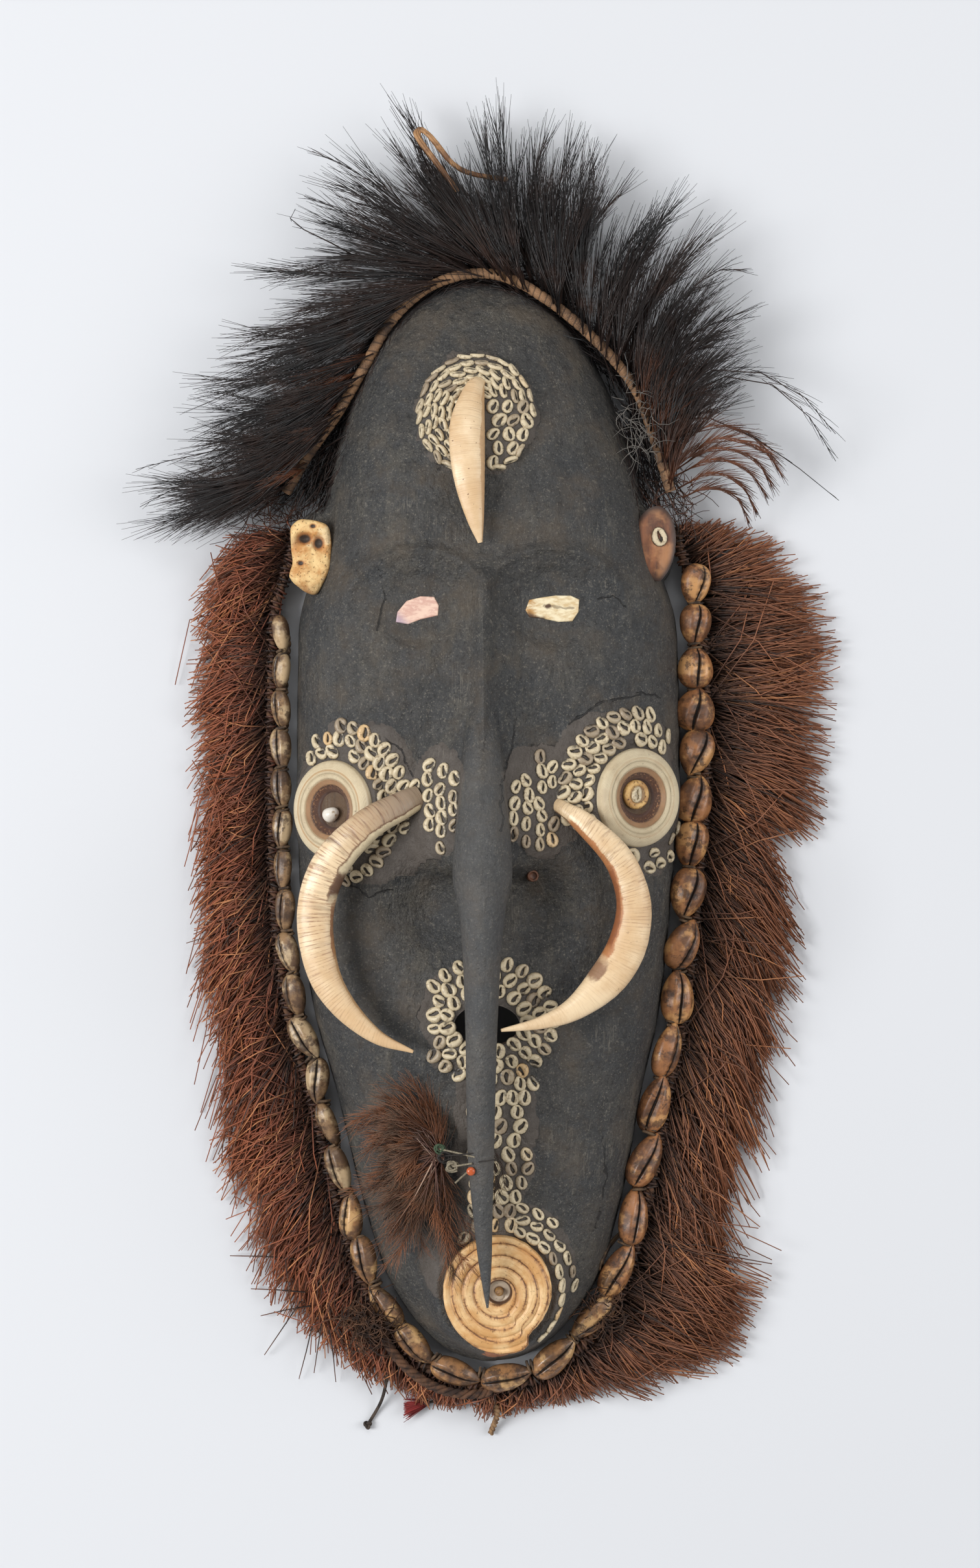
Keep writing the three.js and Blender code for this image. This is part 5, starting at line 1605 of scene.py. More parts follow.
# The fringe: thousands of stiff red-brown palm fibres, cut off ragged, that stand out all round.
# They are looped in locks over a heading cord behind the garland and fall over one another.
fringe_rng = random.Random(5)
RIM_TOP = 150
RIM_STEPS = 1200
FRINGE_EDGE = [(-118, 160), (-150, 163), (-176, 152), (-193, 110), (-199, 30), (-193, -60), (-195, -140),
               (-184, -200), (-181, -270), (-165, -313), (-150, -352), (-112, -392), (-70, -418),
               (-40, -430), (3, -438), (55, -428), (110, -420), (141, -407), (172, -392), (190, -355),
               (195, -312), (204, -227), (211, -141), (204, -98), (193, -63), (217, -46), (223, -12),
               (230.5, 31), (228.5, 74), (218, 117), (184, 151), (150, 160), (118, 156)]

# Which way the fibres lie, in degrees, by their place along the rim from the left ear round the chin
fringe_lie = through((0, 196), (0.028, 200), (0.065, 200), (0.10, 203), (0.137, 209), (0.21, 216),
                     (0.245, 224), (0.282, 240), (0.32, 227), (0.356, 240), (0.393, 246), (0.432, 240),
                     (0.46, 250), (0.50, 272), (0.527, 292), (0.547, 325), (0.588, 330), (0.626, 302),
                     (0.681, 289), (0.732, 298), (0.772, 305), (0.808, 311), (0.851, 328), (0.887, 341),
                     (0.917, 359), (0.953, 368), (0.972, 388), (1, 408))


def rim_places():
    """The edge of the face from the left ear round the chin to the right ear: (point, outward, share)."""
    left, right = [], []
    for step in range(RIM_STEPS + 1):
        y = MIDDLE_Y + HALF_LENGTH * spread_to_poles(step / RIM_STEPS)
        if y <= RIM_TOP:
            left.append(Vector((centre_line(y) - face_half_width(y), y)))
            right.append(Vector((centre_line(y) + face_half_width(y), y)))
    edge = left + right[-2::-1]
    reach = [0]
    for here, after in zip(edge, edge[1:]):
        reach.append(reach[-1] + (after - here).length)
    places = []
    for i, point in enumerate(edge):
        run = edge[min(i + 1, len(edge) - 1)] - edge[max(i - 1, 0)]
        places.append((point, Vector((-run.y, run.x)).normalized(), reach[i] / reach[-1]))
    return places, reach[-1]


RIM, RIM_LENGTH = rim_places()
RIM_SHARES = [share for _, _, share in RIM]


def on_rim(share, offset):
    """The point at a distance outside the rim, for a share of its length."""
    share = min(max(share, 0), 0.99999)
    low, high = 0, len(RIM) - 1
    while high - low > 1:
        half = (low + high) // 2
        low, high = (half, high) if RIM_SHARES[half] <= share else (low, half)
    part = (share - RIM_SHARES[low]) / max(RIM_SHARES[high] - RIM_SHARES[low], 1e-9)
    point = RIM[low][0].lerp(RIM[high][0], part)
    out = RIM[low][1].lerp(RIM[high][1], part).normalized()
    middle = Vector((0, MIDDLE_Y))
    out = out if out.dot(point - middle) > 0 else -out
    return point + offset * out, out


def reach_to_edge(start, heading):
    """How far it is from a point to the fringe's outer edge in one direction."""
    nearest = 95.0
    for first, second in zip(FRINGE_EDGE, FRINGE_EDGE[1:]):
        side = Vector(second) - Vector(first)
        cross = heading.x * side.y - heading.y * side.x
        if abs(cross) < 1e-6:
            continue
        gap = Vector(first) - start
        along = (gap.x * side.y - gap.y * side.x) / cross
        across = (gap.x * heading.y - gap.y * heading.x) / cross
        if 0 <= across <= 1 and 2 < along < nearest:
            nearest = along
    return nearest


def halfway(start, early, late, end):
    """The middle of the curve through four points, no lower than the two beside it."""
    middle = (9 * (early + late) - start - end) / 16
    middle.z = max(middle.z, min(early.z, late.z))
    return middle


def hairs(name, lines, radius, loss, material, tones):
    """Thin three-sided hairs through lines of equal point counts, as one mesh with its tones.

    The radius is in millimetres, and loss is the share of it that is gone at the end.
    """
    if len(lines[0]) == 4:
        lines = [(start, halfway(start, early, late, end), end) for start, early, late, end in lines]
    section = bpy.data.curves.new("section", "CURVE")
    ring = section.splines.new("POLY")
    ring.points.add(2)
    for i, point in enumerate(ring.points):
        point.co = (*(MM * polar(2 * pi * i / 3, radius)), 1)
    ring.use_cyclic_u = True
    section_obj = placed("section", section)
    data = bpy.data.curves.new(name, "CURVE")
    data.dimensions = "3D"
    data.bevel_mode = "OBJECT"
    data.bevel_object = section_obj
    shares = [i / (len(lines[0]) - 1) for i in range(len(lines[0]))]
    for line in lines:
        spline = data.splines.new("POLY")
        spline.points.add(len(line) - 1)
        spline.points.foreach_set("co", [c for place in line for c in (*place, 1)])
        spline.points.foreach_set("radius", [1 - loss * share for share in shares])
    obj = as_mesh(placed(name, data))
    bpy.data.objects.remove(section_obj)
    bm = bmesh.new()
    bm.from_mesh(obj.data)
    bmesh.ops.holes_fill(bm, edges=[edge for edge in bm.edges if edge.is_boundary], sides=3)
    bmesh.ops.recalc_face_normals(bm, faces=bm.faces)
    bm.to_mesh(obj.data)
    bm.free()
    steps = [share for share in shares for _ in range(3)]
    give(obj, "tone", [tone for tone in tones for _ in steps])
    give(obj, "along", steps * len(lines))
    obj.data.materials.clear()
    obj.data.materials.append(material)
    return obj


def fringe_finish():
    """Red-brown palm fibre, some strands dark, some bleached orange, with painted shade darkening it towards
    the root.
    """
    palm = Finish("palm_fibre", 0.62)
    where = palm.place
    tone = palm.marks("tone")
    along = palm.marks("along")
    side = palm.axes(where)[0]
    light = palm.mix(palm.between(side, -0.12, 0.12), (150, 82, 54), (150, 96, 68))
    dark = palm.mix(palm.between(side, -0.12, 0.12), (72, 37, 27), (72, 46, 35))
    palm.paint(palm.between(tone, 0.0, 0.7), dark, light)
    palm.stain(palm.between(tone, 0.84, 0.97), (194, 130, 84))
    palm.stain(palm.between(tone, 0.12, 0.04), (52, 38, 33))
    # Painted shade: the fibres darken almost to black towards the root, where the heading and the garland
    # cover them.
    palm.stain(palm.between(along, 0.72, 0.05), (26, 17, 14), 0.92)
    palm.stain(palm.between(along, 0.5, 1.0), (176, 112, 76), 0.3)
    fleck = palm.noise(340, 3)
    palm.stain(palm.between(fleck, 0.5, 0.7, 0, 0.4), (134, 96, 70))
    return palm.coat(normal=palm.grain(fleck, 0.0004, 0.4))


palm_fibre = fringe_finish()
FIBRE_RADIUS = 0.56
FIBRES_PER_LOCK = 11
LONGEST_FIBRE = 92
FRINGE_LOW, FRINGE_HIGH = 1.2, 26


def lock_of_fibres(share, level, mess, stray=0.0):
    """One lock: its fibres leave the heading together, spread a little and end ragged."""
    lock_turn = fringe_rng.gauss(0, 15) * mess + stray
    lock_length = fringe_rng.uniform(0.94 - 0.22 * mess, 1.02)
    lines = []
    for _ in range(FIBRES_PER_LOCK):
        place = share + fringe_rng.gauss(0, 2.2) / RIM_LENGTH
        start, out = on_rim(place, fringe_rng.uniform(14.5, 19))
        lie = radians(fringe_lie(clamp(place)) + lock_turn + fringe_rng.gauss(0, 6) * mess)
        heading = Vector((cos(lie), sin(lie)))
        if heading.dot(out) < 0.2:
            heading = (heading + out * (0.3 - heading.dot(out))).normalized()
        length = min(reach_to_edge(start, heading) * lock_length * fringe_rng.uniform(0.7, 1.08),
                     LONGEST_FIBRE)
        bend = fringe_rng.gauss(0, 0.11) * mess * length
        side = Vector((-heading.y, heading.x))
        low = max(2.0, level * 19 + fringe_rng.uniform(-2, 2))
        rise = 5.0 * level + fringe_rng.uniform(-1, 1.5)
        end = max(1.4, low * fringe_rng.uniform(0.35, 0.75) + fringe_rng.uniform(-1, 3))
        line = []
        for step in range(4):
            t = step / 3
            lift = low + (end - low) * t + rise * sin(pi * min(t * 1.25, 1))
            flat = start + heading * length * t
            flat += out * (length * 0.10 * sin(pi * t)) + side * bend * sin(pi * t * 0.8)
            flat += side * fringe_rng.gauss(0, 0.9 * t)
            line.append(MM * Vector((flat.x, flat.y, min(max(lift, FRINGE_LOW), FRINGE_HIGH))))
        lines.append(line)
    return lines


def fringe_run(name, node, first, last, locks, strays, mess):
    lines, tones = [], []
    for i in range(locks):
        share = first + (last - first) * fringe_rng.random()
        level = (i / locks) ** 0.8
        lock = lock_of_fibres(share, level, mess)
        lock_tone = fringe_rng.uniform(-0.18, 0.18)
        lines += lock
        tones += [clamp(fringe_rng.random() * 0.85 + 0.08 + lock_tone) for _ in lock]
    for _ in range(strays):
        share = first + (last - first) * fringe_rng.random()
        lines += lock_of_fibres(share, fringe_rng.uniform(0.8, 1.15), mess, fringe_rng.gauss(0, 38))[:1]
        tones.append(fringe_rng.uniform(0.4, 1.0))
    show(hairs(name, lines, FIBRE_RADIUS, 0.25, palm_fibre, tones), "fringe_fibre", node)


LONG_STRAYS = [((-124, -358), (-149, -396)), ((-116, -373), (-126, -412)), ((-105, -377), (-101.5, -414)),
               ((-118, -361), (-151.5, -370)), ((-121, -352), (-158, -352)), ((-128, -330), (-172, -330)),
               ((-150, -105), (-201, -122)), ((-110, -372), (-116, -408)), ((-99, -376), (-88, -404))]


def long_strays():
    lines = []
    for foot, tip in LONG_STRAYS:
        bend = fringe_rng.uniform(-3, 3)
        lines.append([MM * Vector((*(Vector(foot).lerp(Vector(tip), t) + Vector((bend, bend)) * t * (1 - t)),
                                   19 - 15 * t)) for t in (0, 1 / 3, 2 / 3, 1)])
    return lines


show(hairs("fringe_long_strays", long_strays(), 0.62, 0.4, palm_fibre,
           [0.03] * len(LONG_STRAYS)), "fringe_fibre")
fringe_run("fringe_left_fibres", "fringe_left", 0.0, 0.44, 455, 420, 1.15)
fringe_run("fringe_bottom_fibres", "fringe_bottom", 0.43, 0.57, 120, 60, 0.8)
fringe_run("fringe_right_fibres", "fringe_right", 0.56, 1.0, 465, 220, 0.6)

# The heading cord of the fringe: two thick plies under a close row of fibre loops
heading_bast = twine_finish("heading_bast", (96, 66, 46), (44, 30, 24))
HEADING_AWAY, HEADING_Z = 16.5, 18.5
LOOP_PITCH = 3.6
heading_route = []
for step in range(241):
    point, _ = on_rim(step / 240, HEADING_AWAY)
    heading_route.append(MM * Vector((point.x, point.y, HEADING_Z)))
heading_plies = strand("heading_cord", twisted(heading_route, RIM_LENGTH / 11, 0.0018, 5), 0.0036,
                       heading_bast, sides=6)
show(as_mesh(heading_plies), "fringe_fibre")
loops = []
for step in range(int(RIM_LENGTH / LOOP_PITCH)):
    share = (step + fringe_rng.uniform(-0.25, 0.25)) * LOOP_PITCH / RIM_LENGTH
    point, out = on_rim(share, HEADING_AWAY + fringe_rng.uniform(-0.6, 0.6))
    along = Vector((-out.y, out.x))
    slant = fringe_rng.uniform(-1.6, 1.6)
    ring = []
    for turn in range(9):
        angle = 2 * pi * turn / 8
        flat = point + out * 4.1 * cos(angle) + along * slant * cos(angle)
        ring.append(MM * Vector((flat.x, flat.y, HEADING_Z + 0.4 + 3.5 * sin(angle))))
    loops.append(ring)
heading_loops = hairs("heading_loops", loops, 0.95, 0, palm_fibre,
                      [fringe_rng.uniform(0.0, 0.5) for _ in loops])
show(heading_loops, "fringe_fibre")

# Under the chin the heading shows as a thick dark rope, and its bast ends in a tangle on each side
rope_route = [MM * Vector((*on_rim(0.435 + 0.065 * i / 30, 24.5 - 6 * abs(i / 15 - 1) ** 2)[0], 23))
              for i in range(31)]
heading_rope = strand("heading_rope", twisted(rope_route, 7, 0.0019, 8, 3), 0.0033, heading_bast, sides=8)
show(as_mesh(heading_rope), "fringe_fibre")


def tangled(rng, count, low, high, reach, curl_most):
    """Short curling ends in a heap between two corners, in millimetres."""
    curls = []
    for _ in range(count):
        start = Vector([rng.uniform(a, b) for a, b in zip(low, high)])
        heading, curl = rng.uniform(0, 2 * pi), rng.uniform(-curl_most, curl_most)
        length = rng.uniform(*reach)
        curls.append([MM * (start + length * share * Vector((cos(heading + curl * share),
                                                             sin(heading + curl * share), 0.1)))
                      for share in (0, 0.25, 0.5, 0.75, 1)])
    return curls


bast_heaps = (tangled(fringe_rng, 130, (-88, -379, 25), (-70, -366, 31), (8, 24), 2.6)
              + tangled(fringe_rng, 90, (66, -372, 24), (80, -356, 30), (7, 20), 2.6))
show(hairs("heading_bast_ends", bast_heaps, 0.5, 0.3, heading_bast, [0.3] * len(bast_heaps)),
     "fringe_fibre")


# The hoop over the crown: cane bent round the head and wound with strips of brown bark.
# The feathers are tied under its outer side. Its inner side stands a little off the wood.
HOOP_POINTS = [(-133, 175, 34), (-117, 201, 38), (-99, 226, 40), (-82, 255.5, 40), (-65, 285, 40),
               (-44, 306, 40), (-22, 316, 40), (0, 318, 40), (20, 312, 40), (41, 299, 40), (62, 282, 40),
               (83.5, 260, 40), (98.5, 238, 40), (109, 209, 38), (119.5, 176, 34)]
HOOP_THICKNESS = 6.6
WINDING = 5.2
hoop_line = course(HOOP_POINTS)


def on_hoop(t):
    return Vector(hoop_line(t))


hoop_length = sum((on_hoop((i + 1) / 200) - on_hoop(i / 200)).length for i in range(200))


def wound(u, t):
    """The laps of the bark strip, and its own unevenness."""
    strip = (t * hoop_length / WINDING + u * 0.9 + 0.35 * ripple(t * 26, 0, 2)) % 1
    swell = 1 - 0.13 * bell(min(strip, 1 - strip) / 0.16) + 0.07 * strip
    return swell + 0.07 * ripple(t * 30, cos(2 * pi * u), sin(2 * pi * u))


def bark_finish():
    """Dry bark strip: tan where it is rubbed, dark brown in the laps, fibrous along its length."""
    bark = Finish("wound_bark", 0.78)
    parts = bark.axes(bark.surface)
    lap = bark.fraction(bark.sum(bark.times(parts[1], hoop_length / WINDING), bark.times(parts[0], 0.9)))
    cloud = bark.noise(55, 5)
    bark.paint(bark.between(cloud, 0.42, 0.66), (138, 102, 72), (70, 49, 38))
    thread = bark.noise(1.0, 4, 0.7, where=bark.stretched(bark.surface, (60, 400, 1)))
    bark.stain(bark.between(thread, 0.46, 0.66, 0, 0.7), (182, 146, 106))
    seam = bark.between(bark.off(lap), 0.34, 0.5)
    bark.stain(seam, (44, 32, 26), 0.75)
    soot = bark.between(bark.noise(24, 3), 0.54, 0.68)
    bark.stain(soot, (44, 32, 27), 0.8)
    return bark.coat(normal=bark.grain(thread, 0.0007, 0.6))


hoop_stations = [(*point, HOOP_THICKNESS, HOOP_THICKNESS) for point in HOOP_POINTS]
hoop = settled(tube(hoop_stations, 20, 420, wound, cap=0.004, step=0.005), "crown_hoop_bark", bark_finish())
show(hoop, "hoop_bark", "crown_hoop")


# The crown of cassowary feathers: long hair-like barbs on thin shafts, black with brown roots.
# They are tied along the hoop and sweep outwards, and single long ones curl out at the sides.
feather_rng = random.Random(31)
feather_lie = course([(206, 186), (212, 190), (214, 190), (215, 188), (207, 186), (194, 178), (172, 158),
                      (134, 126), (112, 94), (103, 74), (96, 58), (90, 48), (86, 34), (92, 14), (98, 40)])
feather_length = through((0, 92), (0.14, 118), (0.3, 122), (0.4, 126), (0.5, 122), (0.57, 120), (0.7, 122),
                         (0.85, 116), (0.93, 106), (1, 78))


def feather_finish(name, black, brown):
    """Black barbs with a faint cold sheen at their tips, brown towards the root."""
    plume = Finish(name, 0.5)
    tone = plume.marks("tone")
    along = plume.marks("along")
    patch = plume.between(plume.noise(40, 3), 0.48, 0.66, 0, 0.7)
    plume.paint(plume.most(tone, patch), black, brown)
    plume.stain(plume.between(along, 0.35, 1.0), black, 0.6)
    grey = plume.times(plume.between(tone, 0.16, 0.02), plume.between(along, 0.2, 0.7))
    plume.stain(grey, (76, 77, 78), 0.5)
    return plume.coat()


black_plume = feather_finish("black_plume", (27, 26, 27), (66, 44, 34))
rust_plume = feather_finish("rust_plume", (50, 34, 27), (118, 70, 44))


def beside(at, t, i):
    """A place on a shaft, the way ahead there and the way out to its left and its right in turn."""
    ahead = (at(min(t + 0.05, 1)) - at(max(t - 0.05, 0))).normalized()
    return at(t), ahead, Vector((-ahead.y, ahead.x, 0)) * (1 if i % 2 else -1)


def barb(foot, ahead, side, reach, opened, bow, sink, stray=None):
    """A barb that opens at an angle from its shaft, bows back and sinks; stray(share) bends it further."""
    line = []
    for share in (0, 1 / 3, 2 / 3, 1):
        out = reach * sin(opened) * (share - bow * share * share)
        point = foot + ahead * reach * share * cos(opened) + side * out + UP * sink * reach * share
        line.append(point + stray(share) if stray else point)
    return line


def plume(root, start, end, length, lift, drop, barbs, spread, barb_length, curl=0.0):
    """One feather from its root in millimetres: the shaft line and the barb lines along both its sides.

    Its heading turns from start to end, and it rises to lift and comes down to drop.
    """
    def at(t):
        steps = 8
        place = Vector((root.x, root.y, 0))
        for i in range(steps):
            part = clamp(t * steps - i)
            heading = radians(start + (end - start) * ((i + 0.5) / steps) ** 0.8) + curl * (i / steps) ** 3
            place += polar(heading) * length / steps * part
        place.z = root.z + lift * sin(pi * min(t, 1) * 0.8) - drop * t ** 1.6
        return place

    lines = []
    for i in range(barbs):
        t = 0.03 + 0.90 * ((i + feather_rng.random()) / barbs) ** 1.1
        reach = barb_length * (1 - 0.5 * t) * feather_rng.uniform(0.6, 1.2)
        opened, sink = spread * feather_rng.uniform(0.15, 1.3), feather_rng.uniform(-0.10, 0.06)
        foot, ahead, side = beside(at, t, i)
        side.normalize()
        lines.append(barb(foot, ahead, side, reach, opened, 0.3, sink,
                          lambda share: side * feather_rng.uniform(-0.5, 0.5) * share))
    return [at(i / 4) for i in range(5)], lines


CROWN_FREE, CROWN_SOFT = 40, 17
BARB_RADIUS, SHAFT_RADIUS = 0.27, 0.7


def settle(line):
    """The line kept above the surface, and bent over softly where it would stand too high."""
    settled_line = []
    for x, y, z in line:
        bent = CROWN_SOFT * (1 - exp(-max(z - CROWN_FREE, 0) / CROWN_SOFT))
        settled_line.append(MM * Vector((x, y, max(min(z, CROWN_FREE) + bent, 1.5))))
    return settled_line


def feather_piece(name, plumes, finish, *nodes):
    """Feathers given as (shaft, barb lines, brownness), made into one mesh of barbs and one of shafts."""
    lines, tones = [], []
    for _, barbs, brown in plumes:
        for barb in barbs:
            lines.append(settle(barb))
            tones.append(clamp(brown + feather_rng.uniform(-0.15, 0.15)))
    show(hairs(name + "_barbs", lines, BARB_RADIUS, 0.55, finish, tones), "feather", *nodes)
    shafts = [settle(shaft) for shaft, _, _ in plumes]
    show(hairs(name + "_shafts", shafts, SHAFT_RADIUS, 0.65, finish, [0.4] * len(shafts)), "feather")


def feather_band(name, first, last, count, finish, brown_share, shorter=1.0, lean=0):
    plumes = []
    for i in range(count):
        t = first + (last - first) * (i + feather_rng.random()) / count
        level = feather_rng.random()
        lie_first, lie_last = feather_lie(t)
        outward = polar(radians(lie_first))
        root = on_hoop(t) + outward * feather_rng.uniform(-3, 5)
        over = level > 0.72
        root.z += 4.5 if over else -7 + 9 * level
        root += outward * (-5 if over else 0)
        turn = feather_rng.gauss(lean, 8)
        brown = clamp(feather_rng.gauss(brown_share, 0.2))
        length = shorter * feather_length(t) * feather_rng.uniform(0.5, 1.0) * (0.8 if over else 1)
        drop, curl = feather_rng.uniform(2, 26), feather_rng.gauss(0, 0.22)
        shaft, lines = plume(root, lie_first + turn * 0.5, lie_last + turn * 1.5, length, 8 + 14 * level,
                             drop, 50, 0.24, 62 * shorter, curl)
        plumes.append((shaft, lines, brown))
    feather_piece(name, plumes, finish, "crown_feathers")


feather_band("crown_left", 0.0, 0.34, 58, black_plume, 0.2)
feather_band("crown_sweep", 0.34, 0.56, 24, black_plume, 0.35, 1.0, 16)
feather_band("crown_top", 0.44, 0.66, 36, black_plume, 0.15)
feather_band("crown_right", 0.64, 1.0, 56, black_plume, 0.28)
feather_band("crown_rust_left", 0.02, 0.24, 14, rust_plume, 0.5, 0.5)
feather_band("crown_rust_right", 0.84, 1.0, 18, rust_plume, 0.4, 0.55)

# Single long plumes that stray from the crown: points, brownness, barbs and their length
WISPS = [([(119, 240), (156, 256), (198, 242), (228, 214)], 0.1, 26, 34),
         ([(123, 236), (165, 252), (203, 232), (229, 197)], 0.1, 22, 30),
         ([(118, 224), (154, 221), (194, 197), (231, 171)], 0.1, 8, 14),
         ([(120, 197), (140, 217), (168, 214), (190, 197)], 0.7, 80, 28),
         ([(123, 192), (148, 209), (177, 203), (194, 185)], 0.9, 90, 28),
         ([(121, 189), (146, 203), (172, 197), (188, 178)], 0.8, 80, 28),
         ([(122, 186), (146, 196), (168, 190), (184, 172)], 0.8, 80, 26),
         ([(124, 178), (145, 187), (164, 180), (177, 161)], 0.75, 80, 24),
         ([(127, 172), (144, 178), (162, 172), (172, 156)], 0.7, 80, 22),
         ([(104, 262), (128, 300), (146, 318), (170, 322)], 0.1, 22, 34),
         ([(-30, 336), (-62, 366), (-90, 386), (-116, 401)], 0.1, 22, 40),
         ([(-43, 322), (-75, 344), (-98, 358), (-121, 370)], 0.1, 20, 36),
         ([(-80, 326), (-109, 340), (-128, 350), (-127, 362)], 0.1, 6, 12),
         ([(-120, 205), (-155, 205), (-198, 197), (-232, 191)], 0.1, 14, 22),
         ([(-122, 195), (-158, 190), (-192, 182), (-229, 166)], 0.1, 18, 28)]


def wisp(points, barbs, barb_length):
    line = course(points)
    lift = feather_rng.uniform(14, 30)

    def at(t):
        return Vector((*line(t), 34 + lift * sin(pi * min(t * 0.8, 1)) - 20 * t * t))

    lines = []
    for i in range(barbs):
        t = 0.1 + 0.85 * (i + feather_rng.random()) / barbs
        reach = barb_length * (1 - 0.5 * t) * feather_rng.uniform(0.5, 1.2)
        lines.append(barb(*beside(at, t, i), reach, feather_rng.uniform(0.05, 0.4), 0.3, -0.06))
    return [at(i / 4) for i in range(5)], lines


for wisp_name, finish, ruddy in (("crown_wisps", black_plume, False), ("crown_rust_curls", rust_plume, True)):
    feather_piece(wisp_name, [(*wisp(points, barbs, reach), brown) for points, brown, barbs, reach in WISPS
                              if (brown > 0.5) is ruddy], finish)

# Dark down and broken barbs that fill the gap between the hoop and the wood, which also stand in as painted
# shade for the shadow in that gap, and a grey tangle at its right
DOWN_COUNT = 2600
gap_lines, gap_tones = [], []
for _ in range(DOWN_COUNT):
    t = feather_rng.random()
    root = on_hoop(t)
    tangent = (on_hoop(min(t + 0.01, 1)) - on_hoop(max(t - 0.01, 0))).normalized()
    inward = Vector((tangent.y, -tangent.x, 0))
    inward = inward if inward.dot(Vector((-3, 222, 0)) - root) > 0 else -inward
    root += inward * feather_rng.uniform(-7, 5 + 22 * ramp(0.7, 0.95, abs(2 * t - 1)))
    root.z = feather_rng.uniform(3, 33)
    ahead = tangent * feather_rng.choice((-1, 1)) + inward * feather_rng.uniform(-0.5, 0.45)
    bend = feather_rng.uniform(-6, 6)
    length = feather_rng.uniform(10, 30)
    line = []
    for share in (0, 1 / 3, 2 / 3, 1):
        point = root + ahead * length * share + inward * bend * share * share
        point.z += feather_rng.uniform(-4, 4) * share
        ground = face_height(point.x, point.y)
        line.append(MM * Vector((point.x, point.y, min(max(point.z, ground + 0.6, 1.0), 46))))
    gap_lines.append(line)
    gap_tones.append(feather_rng.uniform(0, 0.6))
show(hairs("crown_down", gap_lines, 0.45, 0.5, black_plume, gap_tones), "feather")
ends = (tangled(feather_rng, 70, (-160, 143, 4), (-124, 172, 22), (12, 34), 0.9)
        + tangled(feather_rng, 80, (108, 150, 12), (136, 184, 34), (10, 26), 1.0))
show(hairs("crown_end_barbs", ends, 0.4, 0.4, rust_plume,
           [feather_rng.uniform(0, 0.5) for _ in ends]), "feather")
tangle = tangled(feather_rng, 70, (88, 196, 42), (112, 246, 54), (8, 22), 1.6)
show(hairs("crown_grey_tangle", tangle, 0.28, 0.4,
           feather_finish("grey_barbs", (96, 92, 88), (128, 122, 114)), [0.5] * len(tangle)), "feather")


# The hanging loop of split cane behind the feathers: a few brown strips folded over at the top.
LOOP_POINTS = [(-20, 370, 50), (-33, 388, 49), (-44.5, 403, 46), (-47.5, 409.5, 44), (-42.5, 411.5, 44),
               (-33.5, 401, 47), (-22, 386, 46), (-8, 381, 43), (12, 379, 40)]


def cane_finish():
    cane = Finish("split_cane", 0.6)
    thread = cane.noise(320, 4, 0.7)
    cloud = cane.noise(70)
    cane.paint(cane.between(cloud, 0.36, 0.62), (168, 126, 84), (112, 76, 48))
    cane.stain(cane.between(thread, 0.52, 0.7, 0, 0.6), (70, 48, 34))
    return cane.coat(normal=cane.grain(thread, 0.0006, 0.6))


loop_rng = random.Random(3)
cane_strips = []
for strip in range(7):
    away = Vector((loop_rng.uniform(-2.2, 2.2), loop_rng.uniform(-2.2, 2.2), loop_rng.uniform(-1.6, 1.6)))
    cane_strips.append([MM * (Vector(point) + away * (0.6 + 0.4 * sin(i + strip)))
                        for i, point in enumerate(LOOP_POINTS)])
split_cane = cane_finish()
cane_loop = as_mesh(strand("cane_loop_strips", cane_strips, 0.0024, split_cane, sides=6))
show(cane_loop, "split_cane", "cane_loop")


# The tassel of rust-brown down tied with thread through the hole near the end of the nose.
# Its small feathers fan out from the tie over the clay, pale shafts showing through the down.
tassel_rng = random.Random(77)
TIE = Vector((-31, -253, 97))
NOSE_HOLE = Vector((-6.5, -255, 111))


def down_feather(root, heading, length, lie_z, bend, barbs, breadth):
    """One soft feather lying on the clay: its shaft and the long loose barbs on both its sides."""
    def at(t):
        angle = heading + bend * t
        return Vector((root.x + length * t * cos(angle), root.y + length * t * sin(angle),
                       root.z + (lie_z - root.z) * min(t * 2.2, 1) ** 0.8))

    lines = []
    for i in range(barbs):
        t = 0.08 + 0.90 * (i + tassel_rng.random()) / barbs
        reach = breadth * (1.15 - 0.65 * t) * tassel_rng.uniform(0.7, 1.15)
        opened, curl = tassel_rng.uniform(0.1, 0.75), tassel_rng.uniform(-3.5, 3.5)
        sink = tassel_rng.uniform(-0.12, 0.10)
        foot, ahead, side = beside(at, t, i)
        lines.append(barb(foot, ahead, side, reach, opened, 0.4, sink, lambda share: (
            side * curl * share ** 2 + UP * tassel_rng.uniform(-0.3, 0.3) * share)))
    return [at(t) for t in (0, 0.3, 0.6, 0.85)], lines


def over_clay(line, gap=0.8, ceiling=97):
    """The line lifted clear of the clay under it, and kept below the tassel's top."""
    lifted = []
    for point in line:
        ground = face_height(point.x, point.y)
        lifted.append(MM * Vector((point.x, point.y,
                                   min(max(point.z, ground + gap), max(ceiling, ground + gap)))))
    return lifted


def down_finish():
    """Down that runs from rust red to dark brown, greyer at the tips."""
    down = Finish("rust_down", 0.6)
    tone = down.marks("tone")
    along = down.marks("along")
    patch = down.noise(52, 3)
    down.paint(down.between(tone, 0.1, 0.85), (48, 34, 27), (142, 88, 56))
    down.stain(down.between(patch, 0.46, 0.62), (84, 70, 58), 0.45)
    down.stain(down.between(along, 0.45, 1.0), (128, 104, 84), 0.4)
    return down.coat()


def quill_finish():
    quill = Finish("pale_quill", 0.5)
    pale = quill.mix(quill.between(quill.marks("along"), 0.1, 0.9), (176, 148, 128), (124, 92, 76))
    quill.paint(quill.between(quill.marks("tone"), 0.93, 0.96), (86, 56, 44), pale)
    return quill.coat()


